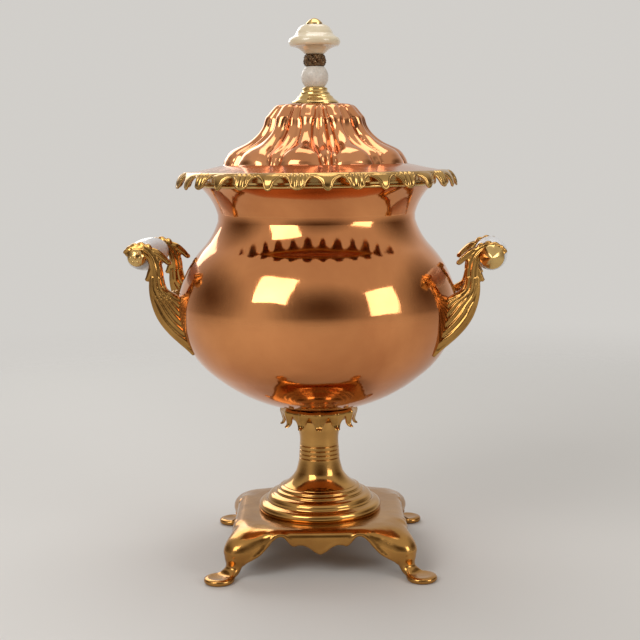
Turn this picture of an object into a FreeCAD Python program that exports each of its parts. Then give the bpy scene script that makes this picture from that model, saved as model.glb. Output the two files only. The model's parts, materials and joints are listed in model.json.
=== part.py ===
import FreeCAD, Part
import math
import os
import Sketcher
from FreeCAD import Placement, Rotation, Vector

# A hot-water urn: a copper vessel with a lobed lid on a brass stem and a four-legged brass foot.
# Millimetres, +Z up, origin on the vessel's axis at the level that the feet stand on.
# The two handles lie along X and the tap along +Y, all turned by vessel_turn about Z.

os.makedirs("parts", exist_ok=True)
doc = FreeCAD.newDocument("urn")

# Driving dimensions
driving = {
    # foot
    "base_height": 40.0,
    "plate_thickness": 4.0,
    "plate_half": 74.0,
    "plate_corner": 26.0,
    "apron_wall": 3.0,
    "apron_point_drop": 20.0,
    "apron_cusp_drop": 12.5,
    "apron_cusp_out": 25.0,
    "arch_out": 43.0,
    "toe_reach": 119.8,
    "toe_radius": 13.0,
    "toe_thickness": 5.0,
    "knee_reach": 98.0,
    "knee_radius": 14.5,
    "knee_height": 29.0,
    "ankle_reach": 101.0,
    "ankle_radius": 8.0,
    "ankle_height": 12.0,
    # stem
    "stem_height": 87.0,
    "stem_top_radius": 19.0,
    "stem_neck_radius": 17.2,
    "stem_bore": 13.0,
    "stem_foot_bore": 38.0,
    "stem_foot_radius": 54.5,
    "foot_ring_height": 7.5,
    # collar under the vessel
    "collar_rise": 5.0,
    "collar_radius": 32.0,
    "collar_leaf_reach": 35.7,
    "collar_leaf_drop": 15.0,
    "collar_leaf_count": 12,
    # vessel
    "floor_radius": 24.0,
    "wall": 1.5,
    "lower_radius": 93.2,
    "lower_height": 32.4,
    "bottom_curve": 142.0,
    "belly_radius": 122.5,
    "belly_height": 93.2,
    "belly_curve": 76.9,
    "shoulder_radius": 99.4,
    "shoulder_drop": 23.4,
    "shoulder_curve": 85.4,
    "waist_radius": 85.9,
    "waist_height": 166.0,
    "waist_curve": 57.8,
    "waist_band": 5.0,
    "flare_curve": 46.3,
    "flare_rise": 24.0,
    "mouth_radius": 100.5,
    "rim_wire": 1.4,
    "rim_out": 0.6,
    "rim_rise": 1.6,
    "vessel_turn": -6.6,
    # lid
    "lid_gap": 0.3,
    "lid_wall": 1.5,
    "brim_radius": 111.0,
    "brim_rise": 12.5,
    "flange_rise": 6.0,
    "lobe_foot_radius": 80.5,
    "lobe_instep_radius": 61.0,
    "lobe_instep_height": 18.5,
    "lobe_waist_radius": 46.0,
    "lobe_waist_height": 32.0,
    "lobe_shoulder_radius": 42.5,
    "lobe_shoulder_height": 42.0,
    "lobe_crown_radius": 35.0,
    "lobe_crown_height": 49.5,
    "lid_top_radius": 21.0,
    "lid_top_height": 52.0,
    "lobe_depth": 5.0,
    "lobe_count": 10,
    "lobe_turn": -10.0,
    "bezel_radius": 92.8,
    "bezel_shelf": 102.5,
    "bezel_drop": 4.0,
    "fringe_radius": 119.5,
    "fringe_inner": 108.0,
    "fringe_band": 5.0,
    "tooth_drop": 14.0,
    "tooth_reach": 122.2,
    "tooth_pairs": 16,
    "tooth_thickness": 2.2,
    "pointed_tooth_root": 6.5,
    "pointed_tooth_waist": 3.2,
    "pointed_tooth_tip": 0.9,
    "broad_tooth_root": 7.5,
    "broad_tooth_waist": 5.0,
    "broad_tooth_tip": 2.4,
    # finial
    "seat_radius": 20.4,
    "seat_height": 14.0,
    "ball_radius": 11.7,
    "ball_flat": 8.0,
    "band_radius": 9.6,
    "band_height": 10.5,
    "knob_radius": 22.2,
    "knob_height": 25.0,
    "cap_radius": 7.0,
    "cap_height": 5.6,
    "finial_rod_radius": 2.0,
    "finial_washer_radius": 6.5,
    "finial_nut_flats": 8.0,
    "finial_nut_thickness": 3.0,
    # handles
    "grip_reach": 151.0,
    "grip_height": 136.2,
    "grip_radius": 14.0,
    "arm_spread": 37.0,
    "arm_tip_spread": 42.5,
    "arm_thickness": 4.6,
    "eye_radius": 8.0,
    "eye_thickness": 9.6,
    "grip_rod_radius": 3.0,
    "grip_rod_end": 45.0,
    "cone_cap_radius": 10.0,
    "cone_cap_height": 9.5,
    "round_cap_radius": 7.2,
    "round_cap_height": 7.2,
    "root_half_width": 48.0,
    "root_bevel": 10.0,
    "root_reach": 137.5,
    "screw_height": 81.0,
    "screw_pitch": 13.0,
    "screw_radius": 2.0,
    "screw_head": 4.0,
    "screw_bite": 6.0,
    "root_height": 100.0,
    # fits and fixings
    "running_clearance": 0.05,
    "seat_clearance": 0.1,
    "free_gap": 0.3,
    "tie_rod_radius": 3.0,
    "tie_boss_radius": 12.5,
    "tie_boss_height": 13.0,
    "nut_flats": 11.0,
    "nut_thickness": 5.0,
    "washer_radius": 9.0,
    "washer_thickness": 1.5,
    "dome_flat": 0.4,
    # tap
    "tap_height": 48.0,
    "tap_reach": 138.0,
    "shank_radius": 6.8,
    "shank_bore": 4.2,
    "shank_start": 88.0,
    "escutcheon_radius": 12.0,
    "escutcheon_face": 120.0,
    "gasket_thickness": 1.5,
    "shank_nut_flats": 20.0,
    "shank_nut_thickness": 5.5,
    "barrel_radius": 11.5,
    "barrel_half": 17.0,
    "plug_top_radius": 8.5,
    "plug_bottom_radius": 7.0,
    "plug_port": 4.0,
    "spout_radius": 7.0,
    "spout_bore": 4.5,
    "spout_reach": 34.0,
    "spout_bend": 13.0,
    "spout_drop": 36.0,
    "lever_length": 27.0,
    "lever_rise": 30.0,
    "lever_radius": 3.2,
    "lever_eye_radius": 5.0,
    "lever_eye_height": 8.0,
    "key_stem_radius": 4.0,
    "key_tail_radius": 3.0,
    "pin_radius": 1.55,
    "pin_head_radius": 3.2,
    "key_grip_radius": 8.0,
    "key_grip_height": 20.0,
    # heater
    "sleeve_radius": 21.5,
    "sleeve_height": 165.0,
    "sleeve_wall": 1.5,
    "core_radius": 17.0,
    "core_gap": 5.0,
    "core_under": 8.8,
    "hook_radius": 2.5,
    "cover_thickness": 3.0,
    "cover_lap": 1.5,
    "cover_knob_radius": 7.0,
    "cover_knob_height": 10.0,
}


def formula_of(value):
    return value.formula if isinstance(value, Size) else repr(float(value))


class Size(float):
    """A length that also carries the sheet formula that gives it."""

    def __new__(cls, number, formula):
        made = float.__new__(cls, number)
        made.formula = formula
        return made

    def __add__(self, other):
        return Size(float(self) + float(other), f"({self.formula} + {formula_of(other)})")

    def __radd__(self, other):
        return Size(float(other) + float(self), f"({formula_of(other)} + {self.formula})")

    def __sub__(self, other):
        return Size(float(self) - float(other), f"({self.formula} - {formula_of(other)})")

    def __rsub__(self, other):
        return Size(float(other) - float(self), f"({formula_of(other)} - {self.formula})")

    def __mul__(self, other):
        return Size(float(self) * float(other), f"({self.formula} * {formula_of(other)})")

    def __rmul__(self, other):
        return Size(float(other) * float(self), f"({formula_of(other)} * {self.formula})")

    def __truediv__(self, other):
        return Size(float(self) / float(other), f"({self.formula} / {formula_of(other)})")

    def __neg__(self):
        return Size(-float(self), f"(-1 * {self.formula})")


class Sizes:
    """Each driving dimension as a named Size."""


sheet = doc.addObject("Spreadsheet::Sheet", "Sizes")
d = Sizes()
for row, (alias, number) in enumerate(driving.items(), start=1):
    sheet.set(f"A{row}", alias)
    sheet.set(f"B{row}", repr(number))
    sheet.setAlias(f"B{row}", alias)
    setattr(d, alias, Size(number, f"Sizes.{alias}"))
doc.recompute()

nodes = []


# Sketches and features
def new_body(label):
    body = doc.addObject("PartDesign::Body", label)
    body.Label = label
    nodes.append(body)
    return body


def plane_of(body, role):
    for feature in body.Origin.OriginFeatures:
        if feature.Role == role:
            return feature
    raise RuntimeError("no plane " + role)


def new_sketch(body, name, role, lift=0.0):
    sketch = body.newObject("Sketcher::SketchObject", name)
    sketch.AttachmentSupport = [(plane_of(body, role), "")]
    sketch.MapMode = "FlatFace"
    sketch.AttachmentOffset = Placement(Vector(0, 0, float(lift)), Rotation())
    if isinstance(lift, Size):
        sketch.setExpression("AttachmentOffset.Base.z", lift.formula)
    return sketch


def hold(sketch, constraint, value):
    index = sketch.addConstraint(constraint)
    if isinstance(value, Size):
        sketch.setExpression(f"Constraints[{index}]", value.formula)


def hold_point(sketch, side, end, across, up):
    if float(across) == 0:
        sketch.addConstraint(Sketcher.Constraint("PointOnObject", side, end, -2))
    else:
        limit = Sketcher.Constraint("DistanceX", -1, 1, side, end, float(across))
        hold(sketch, limit, across)
    if float(up) == 0:
        sketch.addConstraint(Sketcher.Constraint("PointOnObject", side, end, -1))
    else:
        limit = Sketcher.Constraint("DistanceY", -1, 1, side, end, float(up))
        hold(sketch, limit, up)


def arc_between(start, end, radius):
    """Arc from start to end: a positive radius keeps the centre on the left, a negative on the right."""
    chord = end - start
    half = chord.Length / 2
    left = Vector(-chord.y, chord.x, 0).normalize()
    away = math.sqrt(max(radius * radius - half * half, 0.0))
    side = 1 if radius > 0 else -1
    centre = (start + end) * 0.5 + left * (away * side)
    first, last = (start, end) if radius > 0 else (end, start)
    begin = math.atan2(first.y - centre.y, first.x - centre.x)
    finish = math.atan2(last.y - centre.y, last.x - centre.x)
    if finish <= begin:
        finish += 2 * math.pi
    circle = Part.Circle(centre, Vector(0, 0, 1), abs(radius))
    return Part.ArcOfCircle(circle, begin, finish)


def outline(body, name, role, corners, lift=0.0):
    """Closed sketch through corners (across, up) or (across, up, radius of the side that ends there)."""
    sketch = new_sketch(body, name, role, lift)
    sides = []
    for index, corner in enumerate(corners):
        after = corners[(index + 1) % len(corners)]
        start = Vector(float(corner[0]), float(corner[1]), 0)
        end = Vector(float(after[0]), float(after[1]), 0)
        if len(after) == 2:
            side = sketch.addGeometry(Part.LineSegment(start, end))
            sides.append((side, 1, 2))
            continue
        radius = after[2]
        side = sketch.addGeometry(arc_between(start, end, float(radius)))
        sides.append((side, 1, 2) if radius > 0 else (side, 2, 1))
        length = radius if radius > 0 else -radius
        hold(sketch, Sketcher.Constraint("Radius", side, float(length)), length)
    for index, (side, first, last) in enumerate(sides):
        following, start, _ = sides[(index + 1) % len(sides)]
        sketch.addConstraint(Sketcher.Constraint("Coincident", side, last, following, start))
        hold_point(sketch, side, first, corners[index][0], corners[index][1])
    return sketch


def side_between(corner, after):
    """Straight or arced side, as a curve in a sketch's own plane."""
    start = Vector(float(corner[0]), float(corner[1]), 0)
    end = Vector(float(after[0]), float(after[1]), 0)
    if len(after) == 2:
        return Part.LineSegment(start, end)
    return arc_between(start, end, float(after[2]))


def turned_block(corners):
    """Plain solid of revolution about Z from the same kind of corners as a sketch."""
    edges = []
    for index, corner in enumerate(corners):
        edges.append(side_between(corner, corners[(index + 1) % len(corners)]).toShape())
    wire = Part.Wire(edges)
    wire.rotate(Vector(0, 0, 0), Vector(1, 0, 0), 90)
    return Part.Face(wire).revolve(Vector(0, 0, 0), Vector(0, 0, 1), 360)


def heading_at(corner, after, at_end):
    """Direction of travel along a side, at its start or its end."""
    start = Vector(float(corner[0]), float(corner[1]), 0)
    end = Vector(float(after[0]), float(after[1]), 0)
    if len(after) == 2:
        return (end - start).normalize()
    centre = arc_between(start, end, float(after[2])).Center
    spoke = ((end if at_end else start) - centre).normalize()
    turn = 1 if after[2] > 0 else -1
    return Vector(-spoke.y * turn, spoke.x * turn, 0)


def walled(corners, wall, first=0, last=None):
    """Close corners first to last of an outer profile with the same stretch set inwards by wall."""
    last = len(corners) - 1 if last is None else last
    inner = []
    for index, corner in enumerate(corners):
        heading = Vector(0, 0, 0)
        if index > 0:
            heading = heading + heading_at(corners[index - 1], corner, True)
        if index < len(corners) - 1:
            heading = heading + heading_at(corner, corners[index + 1], False)
        heading.normalize()
        inner.append((corner[0] - wall * heading.y, corner[1] + wall * heading.x))
    back = [inner[last]]
    for index in range(last, first, -1):
        place = inner[index - 1]
        if len(corners[index]) == 3:
            radius = corners[index][2]
            place = place + ((wall - radius),)
        back.append(place)
    return [corners[first][:2]] + corners[first + 1 : last + 1] + back


def disc(body, name, role, across, up, radius, lift=0.0):
    sketch = new_sketch(body, name, role, lift)
    add_circle(sketch, across, up, radius)
    return sketch


def add_circle(sketch, across, up, radius):
    centre = Vector(float(across), float(up), 0)
    side = sketch.addGeometry(Part.Circle(centre, Vector(0, 0, 1), float(radius)))
    hold_point(sketch, side, 3, across, up)
    hold(sketch, Sketcher.Constraint("Radius", side, float(radius)), radius)


def spin(body, name, sketch, axis="V_Axis"):
    feature = body.newObject("PartDesign::Revolution", name)
    feature.Profile = sketch
    feature.ReferenceAxis = (sketch, [axis])
    feature.Angle = 360
    doc.recompute()
    return feature


def pad(body, name, sketch, length, reverse=False):
    feature = body.newObject("PartDesign::Pad", name)
    feature.Profile = sketch
    feature.Length = float(length)
    if isinstance(length, Size):
        feature.setExpression("Length", length.formula)
    feature.Reversed = reverse
    doc.recompute()
    return feature


def pocket_through(body, name, sketch):
    feature = body.newObject("PartDesign::Pocket", name)
    feature.Profile = sketch
    feature.Type = "ThroughAll"
    feature.Midplane = True
    doc.recompute()
    return feature


def turned(label, corners, axis="V_Axis"):
    """Piece turned about Z (V_Axis) or about X (H_Axis) from a half profile."""
    body = new_body(label)
    sketch = outline(body, label + "_profile", "XZ_Plane", corners)
    spin(body, label + "_turning", sketch, axis)
    return body


def ring(label, inner, outer, low, high):
    return turned(label, [(inner, low), (outer, low), (outer, high), (inner, high)])


def around(body, name, sketch, originals, count):
    feature = body.newObject("PartDesign::PolarPattern", name)
    feature.Originals = originals
    feature.Axis = (sketch, ["N_Axis"])
    feature.Angle = 360
    feature.Occurrences = int(count)
    if isinstance(count, Size):
        feature.setExpression("Occurrences", count.formula)
    body.Tip = feature
    doc.recompute()
    return feature


def loft(body, name, sections):
    feature = body.newObject("PartDesign::AdditiveLoft", name)
    feature.Profile = sections[0]
    feature.Sections = sections[1:]
    doc.recompute()
    return feature


def hex_nut(label, flats, low, thickness, bore):
    body = new_body(label)
    corner = flats / math.sqrt(3)
    corners = []
    for step in range(6):
        angle = math.radians(60 * step + 30)
        corners.append((corner * math.cos(angle), corner * math.sin(angle)))
    sketch = outline(body, label + "_flats", "XY_Plane", corners, low)
    pad(body, label + "_block", sketch, thickness)
    pocket_through(body, label + "_bore", disc(body, label + "_hole", "XY_Plane", 0, 0, bore))
    return body


def shaped(label, shape):
    feature = doc.addObject("Part::Feature", label)
    feature.Label = label
    feature.Shape = shape
    nodes.append(feature)
    return feature


def turn_with_vessel(piece, quarter=0.0):
    """Turn a piece with the vessel about Z, from a place given by quarter degrees."""
    turned_by = Rotation(Vector(0, 0, 1), float(d.vessel_turn) + quarter)
    piece.Placement = Placement(Vector(0, 0, 0), turned_by).multiply(piece.Placement)


# Levels that the pieces share
plate_low = d.base_height - d.plate_thickness
stem_top = d.base_height + d.stem_height
floor = stem_top + d.collar_rise
belly = floor + d.belly_height
waist = floor + d.waist_height
flare = waist + d.waist_band
mouth = flare + d.flare_rise
brim = mouth + d.brim_rise
lobe_foot = brim + d.flange_rise
lid_top = lobe_foot + d.lid_top_height
diagonal = math.sqrt(0.5)

# Foot: one casting with a square plate, four legs with round toes and four scalloped aprons
base = new_body("base_casting")
half = d.plate_half
flat = d.plate_half - d.plate_corner
plate_corners = [
    (flat, -half),
    (half, -flat, d.plate_corner),
    (half, flat),
    (flat, half, d.plate_corner),
    (-flat, half),
    (-half, flat, d.plate_corner),
    (-half, -flat),
    (-flat, -half, d.plate_corner),
]
plate_sketch = outline(base, "plate_outline", "XY_Plane", plate_corners, plate_low)
pad(base, "plate", plate_sketch, d.plate_thickness)

cusp = d.base_height - d.apron_cusp_drop
point = d.base_height - d.apron_point_drop
apron_top = d.base_height - d.plate_thickness / 2
arch_foot = d.base_height - d.apron_point_drop * 0.8
apron_corners = [
    (-d.plate_half + d.plate_corner - 8, apron_top),
    (-d.plate_half + d.plate_corner - 8, arch_foot),
    (-d.arch_out, arch_foot),
    (-d.apron_cusp_out, cusp, -11.0),
    (-d.apron_cusp_out * 0.4, cusp, -14.0),
    (0, point, -16.0),
    (d.apron_cusp_out * 0.4, cusp, -16.0),
    (d.apron_cusp_out, cusp, -14.0),
    (d.arch_out, arch_foot, -11.0),
    (d.plate_half - d.plate_corner + 8, arch_foot),
    (d.plate_half - d.plate_corner + 8, apron_top),
]
apron_sketch = outline(base, "apron_outline", "XZ_Plane", apron_corners, d.plate_half - d.apron_wall)
apron = pad(base, "apron", apron_sketch, d.apron_wall)

leg_levels = [
    ("hip", d.base_height - 2, d.knee_reach - 8, d.knee_radius - 2),
    ("knee", d.knee_height, d.knee_reach, d.knee_radius),
    ("shin", (d.knee_height + d.ankle_height) / 2, d.knee_reach + 4, d.knee_radius - 3),
    ("ankle", d.ankle_height, d.ankle_reach, d.ankle_radius),
    ("heel", d.toe_thickness * 0.5, d.ankle_reach + 5, d.ankle_radius + 0.5),
]
leg_sections = []
for name, level, reach, radius in leg_levels:
    section = disc(base, "leg_" + name, "XY_Plane", reach * diagonal, reach * diagonal, radius, level)
    leg_sections.append(section)
leg = loft(base, "leg", leg_sections)
toe_centre = d.toe_reach * diagonal
toe_sketch = disc(base, "toe_outline", "XY_Plane", toe_centre, toe_centre, d.toe_radius)
toe = pad(base, "toe", toe_sketch, d.toe_thickness)
around(base, "four_sides", plate_sketch, [apron, leg, toe], 4)
rod_hole = d.tie_rod_radius + d.free_gap
pocket_through(base, "rod_hole", disc(base, "rod_hole_circle", "XY_Plane", 0, 0, rod_hole))

# Stem: a hollow turned column with a stepped, ringed foot
ring_top = d.base_height + d.foot_ring_height
stem = turned(
    "stem",
    [
        (d.stem_foot_bore, d.base_height),
        (d.stem_foot_radius - 1.5, d.base_height),
        (d.stem_foot_radius - 2, ring_top, 5.0),
        (d.stem_foot_radius - 7.5, ring_top + 1),
        (d.stem_foot_radius - 12.5, ring_top + 7.5, 5.5),
        (d.stem_foot_radius - 15.5, ring_top + 8),
        (d.stem_foot_radius - 16, ring_top + 10.5),
        (d.stem_foot_radius - 18.5, ring_top + 11),
        (d.stem_foot_radius - 19, ring_top + 13.5),
        (d.stem_foot_radius - 22.5, ring_top + 14.5),
        (d.stem_neck_radius + 1.6, ring_top + 33, -60.0),
        (d.stem_neck_radius, ring_top + 50, -130.0),
        (d.stem_top_radius, stem_top - 9, -90.0),
        (d.stem_top_radius, stem_top),
        (d.stem_bore, stem_top),
        (d.stem_bore, d.base_height + 26),
        (d.stem_foot_bore, d.base_height + 6),
    ],
)

# Collar: a cup under the vessel with hanging leaves
collar = new_body("stem_collar")
collar_low = stem_top - 6
collar_sketch = outline(
    collar,
    "collar_profile",
    "XZ_Plane",
    [
        (d.stem_bore, stem_top),
        (d.stem_top_radius + d.seat_clearance, stem_top),
        (d.stem_top_radius + d.seat_clearance, collar_low),
        (d.collar_radius - 8, collar_low),
        (d.collar_radius, floor - 3, 12.0),
        (d.collar_radius, floor),
        (d.stem_bore, floor),
    ],
)
spin(collar, "collar_turning", collar_sketch)
leaf_levels = [
    (floor - 2, d.collar_radius - 1.5, 6.0),
    (floor - d.collar_leaf_drop * 0.6, d.collar_radius, 5.0),
    (floor - d.collar_leaf_drop, d.collar_leaf_reach - 1, 1.2),
]
leaf_sections = []
for index, (level, reach, half_width) in enumerate(leaf_levels):
    leaf_sections.append(
        outline(
            collar,
            f"leaf_section_{index}",
            "XY_Plane",
            [
                (reach - 1, -half_width),
                (reach + 1, -half_width),
                (reach + 1, half_width),
                (reach - 1, half_width),
            ],
            level,
        )
    )
leaf = loft(collar, "leaf", leaf_sections)
around(collar, "leaves", leaf_sections[0], [leaf], d.collar_leaf_count)

# Vessel: three spun copper shells, a dished bottom, a belly and a flared neck, soldered edge to edge
vessel_outside = [
    (d.floor_radius, floor),
    (d.lower_radius, floor + d.lower_height, d.bottom_curve),
    (d.belly_radius, belly, d.belly_curve),
    (d.shoulder_radius, waist - d.shoulder_drop, d.shoulder_curve),
    (d.waist_radius, waist, -d.waist_curve),
    (d.waist_radius, flare),
    (d.mouth_radius, mouth, -d.flare_curve),
]
bottom_seam = 1
shoulder_seam = 3
bottom_corners = [(0, floor)] + walled(vessel_outside, d.wall, 0, bottom_seam) + [(0, floor + d.wall)]
turn_with_vessel(turned("vessel_bottom", bottom_corners))
bowl = turned("vessel_belly", walled(vessel_outside, d.wall, bottom_seam, shoulder_seam))
vessel_block = turned_block([(0, floor)] + vessel_outside + [(0, mouth)])
vessel_corners = [(0, floor)] + walled(vessel_outside, d.wall) + [(0, floor + d.wall)]
vessel_cavity = vessel_block.cut(turned_block(vessel_corners))
screw_level = floor + d.screw_height
screw_hole = d.screw_radius + d.seat_clearance
tap_level = floor + d.tap_height
tap_hole = disc(bowl, "tap_hole", "XZ_Plane", 0, tap_level, d.shank_radius + d.seat_clearance)
tap_cut = bowl.newObject("PartDesign::Pocket", "tap_hole_cut")
tap_cut.Profile = tap_hole
tap_cut.Type = "Length"
tap_cut.Length = float(d.belly_radius)
tap_cut.setExpression("Length", d.belly_radius.formula)
tap_cut.Reversed = False
doc.recompute()
screw_holes = disc(bowl, "screw_holes", "YZ_Plane", 0, screw_level, screw_hole)
add_circle(screw_holes, 0, screw_level + d.screw_pitch, screw_hole)
pocket_through(bowl, "screw_holes_cut", screw_holes)
turn_with_vessel(bowl)
turn_with_vessel(turned("vessel_neck", walled(vessel_outside, d.wall, shoulder_seam)))

# Wired edge of the mouth
rim_middle = mouth + d.rim_rise
rim = new_body("mouth_rim")
rim_ring = d.mouth_radius + d.rim_out
rim_sketch = disc(rim, "rim_wire_circle", "XZ_Plane", rim_ring, rim_middle, d.rim_wire)
spin(rim, "rim_turning", rim_sketch)

# Soldered boss, tie rod, washer and nut that hold vessel, stem and foot together
boss_low = floor - d.tie_boss_height
rod_end = plate_low - d.washer_thickness - d.nut_thickness - 2
boss_bore = d.tie_rod_radius + d.seat_clearance
turned(
    "tie_rod_boss",
    [
        (boss_bore, boss_low),
        (d.tie_boss_radius, boss_low),
        (d.tie_boss_radius, floor - d.seat_clearance),
        (0, floor - d.seat_clearance),
        (0, floor - 2),
        (boss_bore, floor - 2),
    ],
)
ring("tie_rod", 0, d.tie_rod_radius, rod_end, floor - 2 - d.seat_clearance)
ring("tie_rod_washer", rod_hole, d.washer_radius, plate_low - d.washer_thickness, plate_low)
nut_low = plate_low - d.washer_thickness - d.nut_thickness
hex_nut("tie_rod_nut", d.nut_flats, nut_low, d.nut_thickness, d.tie_rod_radius + d.running_clearance)


# Lid: a raised copper dome of rounded lobes on a smooth flange
def lobed_wire(level, radius, depth):
    """Closed curve whose radius dips by depth between the lobes."""
    count = int(d.lobe_count)
    steps = 12 * count
    points = []
    for step in range(steps):
        turn = 2 * math.pi * step / steps
        angle = turn + math.radians(float(d.lobe_turn) - 90)
        dip = depth * ((1 - math.cos(count * turn)) / 2) ** 3
        reach = radius - dip
        points.append(Vector(reach * math.cos(angle), reach * math.sin(angle), level))
    curve = Part.BSplineCurve()
    curve.interpolate(Points=points, PeriodicFlag=True)
    return Part.Wire([curve.toShape()])


def lobed_block(inset, overlap):
    """Solid dome whose surface lies inset inside the lid's outer surface, and overlap lower."""
    levels = [
        (d.lobe_foot_radius, -2.0, 0.6),
        (d.lobe_foot_radius - 1, 4.0, 0.9),
        (d.lobe_foot_radius - 6, 9.5, 1.0),
        (d.lobe_instep_radius, d.lobe_instep_height, 0.9),
        (d.lobe_waist_radius, d.lobe_waist_height, 0.7),
        (d.lobe_shoulder_radius, d.lobe_shoulder_height, 0.8),
        (d.lobe_crown_radius, d.lobe_crown_height, 0.5),
        (d.lid_top_radius, d.lid_top_height, 0.05),
    ]
    wires = []
    for index, (radius, rise, share) in enumerate(levels):
        below = levels[max(index - 1, 0)]
        above = levels[min(index + 1, len(levels) - 1)]
        heading = Vector(float(above[0] - below[0]), float(above[1] - below[1]), 0).normalize()
        level = float(lobe_foot + rise) + inset * heading.x
        if index == 0:
            level = level - overlap
        reach = float(radius) - inset * heading.y
        wires.append(lobed_wire(level, reach, float(d.lobe_depth) * share))
    return Part.makeLoft(wires, True, False)


flange_inner = d.lobe_foot_radius - 7
slope = d.flange_rise / (d.brim_radius - d.lobe_foot_radius)
flange_top = lobe_foot + slope * 7
flange = turned_block(
    [
        (flange_inner, flange_top - d.lid_wall),
        (d.brim_radius, brim - d.lid_wall),
        (d.brim_radius, brim),
        (flange_inner, flange_top),
    ]
)
dome = lobed_block(0.0, 0.0).cut(lobed_block(float(d.lid_wall), 3.0))
finial_hole = d.finial_rod_radius + d.seat_clearance
lid_hole = Part.makeCylinder(float(finial_hole), 20, Vector(0, 0, float(lid_top) - 10))
lid_shape = dome.fuse(flange).removeSplitter().cut(lid_hole)
shaped("lid_shell", lid_shape)

# Bezel: a ring under the lid that drops into the mouth and rests on the rim
rim_top = rim_middle + d.rim_wire
shelf_low = rim_top + d.lid_gap
bezel_inner = d.bezel_radius - d.lid_wall
flange_under = brim - d.lid_wall + slope * (d.brim_radius - d.bezel_radius) - d.seat_clearance
turned(
    "lid_bezel",
    [
        (bezel_inner, mouth - d.bezel_drop),
        (d.bezel_radius, mouth - d.bezel_drop),
        (d.bezel_radius, shelf_low),
        (d.bezel_shelf, shelf_low),
        (d.bezel_shelf, shelf_low + d.lid_wall),
        (d.bezel_radius, shelf_low + d.lid_wall),
        (d.bezel_radius, flange_under),
        (bezel_inner, flange_under),
    ],
)

# Fringe: a cast border round the brim with broad and pointed teeth in turn
fringe = new_body("lid_fringe")
fringe_sketch = outline(
    fringe,
    "fringe_profile",
    "XZ_Plane",
    [
        (d.fringe_inner, brim - d.lid_wall - d.seat_clearance - 2),
        (d.fringe_radius - 1, brim - d.fringe_band),
        (d.fringe_radius, brim - d.fringe_band + 2, 1.5),
        (d.brim_radius + 1, brim + 0.8, 9.0),
        (d.brim_radius + d.seat_clearance, brim),
        (d.brim_radius + d.seat_clearance, brim - d.lid_wall - d.seat_clearance),
        (d.fringe_inner, brim - d.lid_wall + slope * (d.brim_radius - d.fringe_inner) - d.seat_clearance),
    ],
)
spin(fringe, "fringe_turning", fringe_sketch)


def tooth(name, root, middle, tip, start_degrees):
    """One hanging tooth: flat sections that narrow, drop and reach outwards."""
    levels = [
        (brim - d.fringe_band + 2.0, d.fringe_radius - 3.5, root),
        (brim - d.fringe_band - d.tooth_drop * 0.25, d.fringe_radius - 1.5, middle),
        (brim - d.tooth_drop, d.tooth_reach - d.tooth_thickness, tip),
    ]
    sections = []
    for index, (level, inner, half_width) in enumerate(levels):
        corners = [
            (inner, -half_width),
            (inner + d.tooth_thickness, -half_width),
            (inner + d.tooth_thickness, half_width),
            (inner, half_width),
        ]
        section = outline(fringe, f"{name}_section_{index}", "XY_Plane", corners, level)
        section.AttachmentOffset = Placement(
            Vector(0, 0, float(level)), Rotation(Vector(0, 0, 1), start_degrees)
        )
        section.setExpression("AttachmentOffset.Base.z", level.formula)
        sections.append(section)
    made = loft(fringe, name, sections)
    around(fringe, name + "_ring", sections[0], [made], d.tooth_pairs)


half_pitch = 180 / float(d.tooth_pairs)
tooth("pointed_tooth", d.pointed_tooth_root, d.pointed_tooth_waist, d.pointed_tooth_tip, 0)
tooth("broad_tooth", d.broad_tooth_root, d.broad_tooth_waist, d.broad_tooth_tip, half_pitch)

# Finial: seat, ball, band, knob and cap nut on one rod through the lid's top
seat_low = lid_top + d.seat_clearance
seat_top = seat_low + d.seat_height
turned(
    "finial_seat",
    [
        (finial_hole, seat_low),
        (d.seat_radius, seat_low),
        (d.seat_radius, seat_low + 1.2),
        (d.seat_radius - 5, seat_low + 4.4, -8.0),
        (d.seat_radius - 5.4, seat_low + 6),
        (d.seat_radius - 7.5, seat_low + 7.6),
        (d.seat_radius - 7.8, seat_low + 9),
        (d.seat_radius - 10, seat_low + 10.6),
        (d.seat_radius - 9.6, seat_low + 12.6, 1.5),
        (d.ball_flat + 0.6, seat_top),
        (finial_hole, seat_top),
    ],
)
ball_lift = math.sqrt(float(d.ball_radius) ** 2 - float(d.ball_flat) ** 2) / float(d.ball_radius)
ball_middle = seat_top + d.ball_radius * ball_lift
ball_top = ball_middle + d.ball_radius * ball_lift
turned(
    "finial_ball",
    [
        (finial_hole, seat_top),
        (d.ball_flat, seat_top),
        (d.ball_radius, ball_middle, d.ball_radius),
        (d.ball_flat, ball_top, d.ball_radius),
        (finial_hole, ball_top),
    ],
)
band_top = ball_top + d.band_height
turned(
    "finial_band",
    [
        (finial_hole, ball_top),
        (d.ball_flat, ball_top),
        (d.band_radius, ball_top + d.band_height * 0.4),
        (d.ball_flat - 0.5, ball_top + d.band_height * 0.55),
        (d.band_radius - 0.6, ball_top + d.band_height * 0.8),
        (d.ball_flat - 0.6, band_top),
        (finial_hole, band_top),
    ],
)
knob_top = band_top + d.knob_height
turned(
    "finial_knob",
    [
        (finial_hole, band_top),
        (d.ball_flat - 0.4, band_top),
        (d.ball_flat + 0.8, band_top + 0.6),
        (d.knob_radius - 1.8, band_top + 6.9, -18.0),
        (d.knob_radius, band_top + 10.4, 4.5),
        (d.knob_radius - 1.6, band_top + 13.8, 5.0),
        (d.knob_radius - 6.2, band_top + 17.4, -12.0),
        (d.knob_radius - 8.0, band_top + 21.0, 12.0),
        (d.knob_radius - 12.4, band_top + 24.6, 7.0),
        (d.cap_radius + 1, knob_top),
        (finial_hole, knob_top),
    ],
)
cap_top = knob_top + d.cap_height
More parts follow.
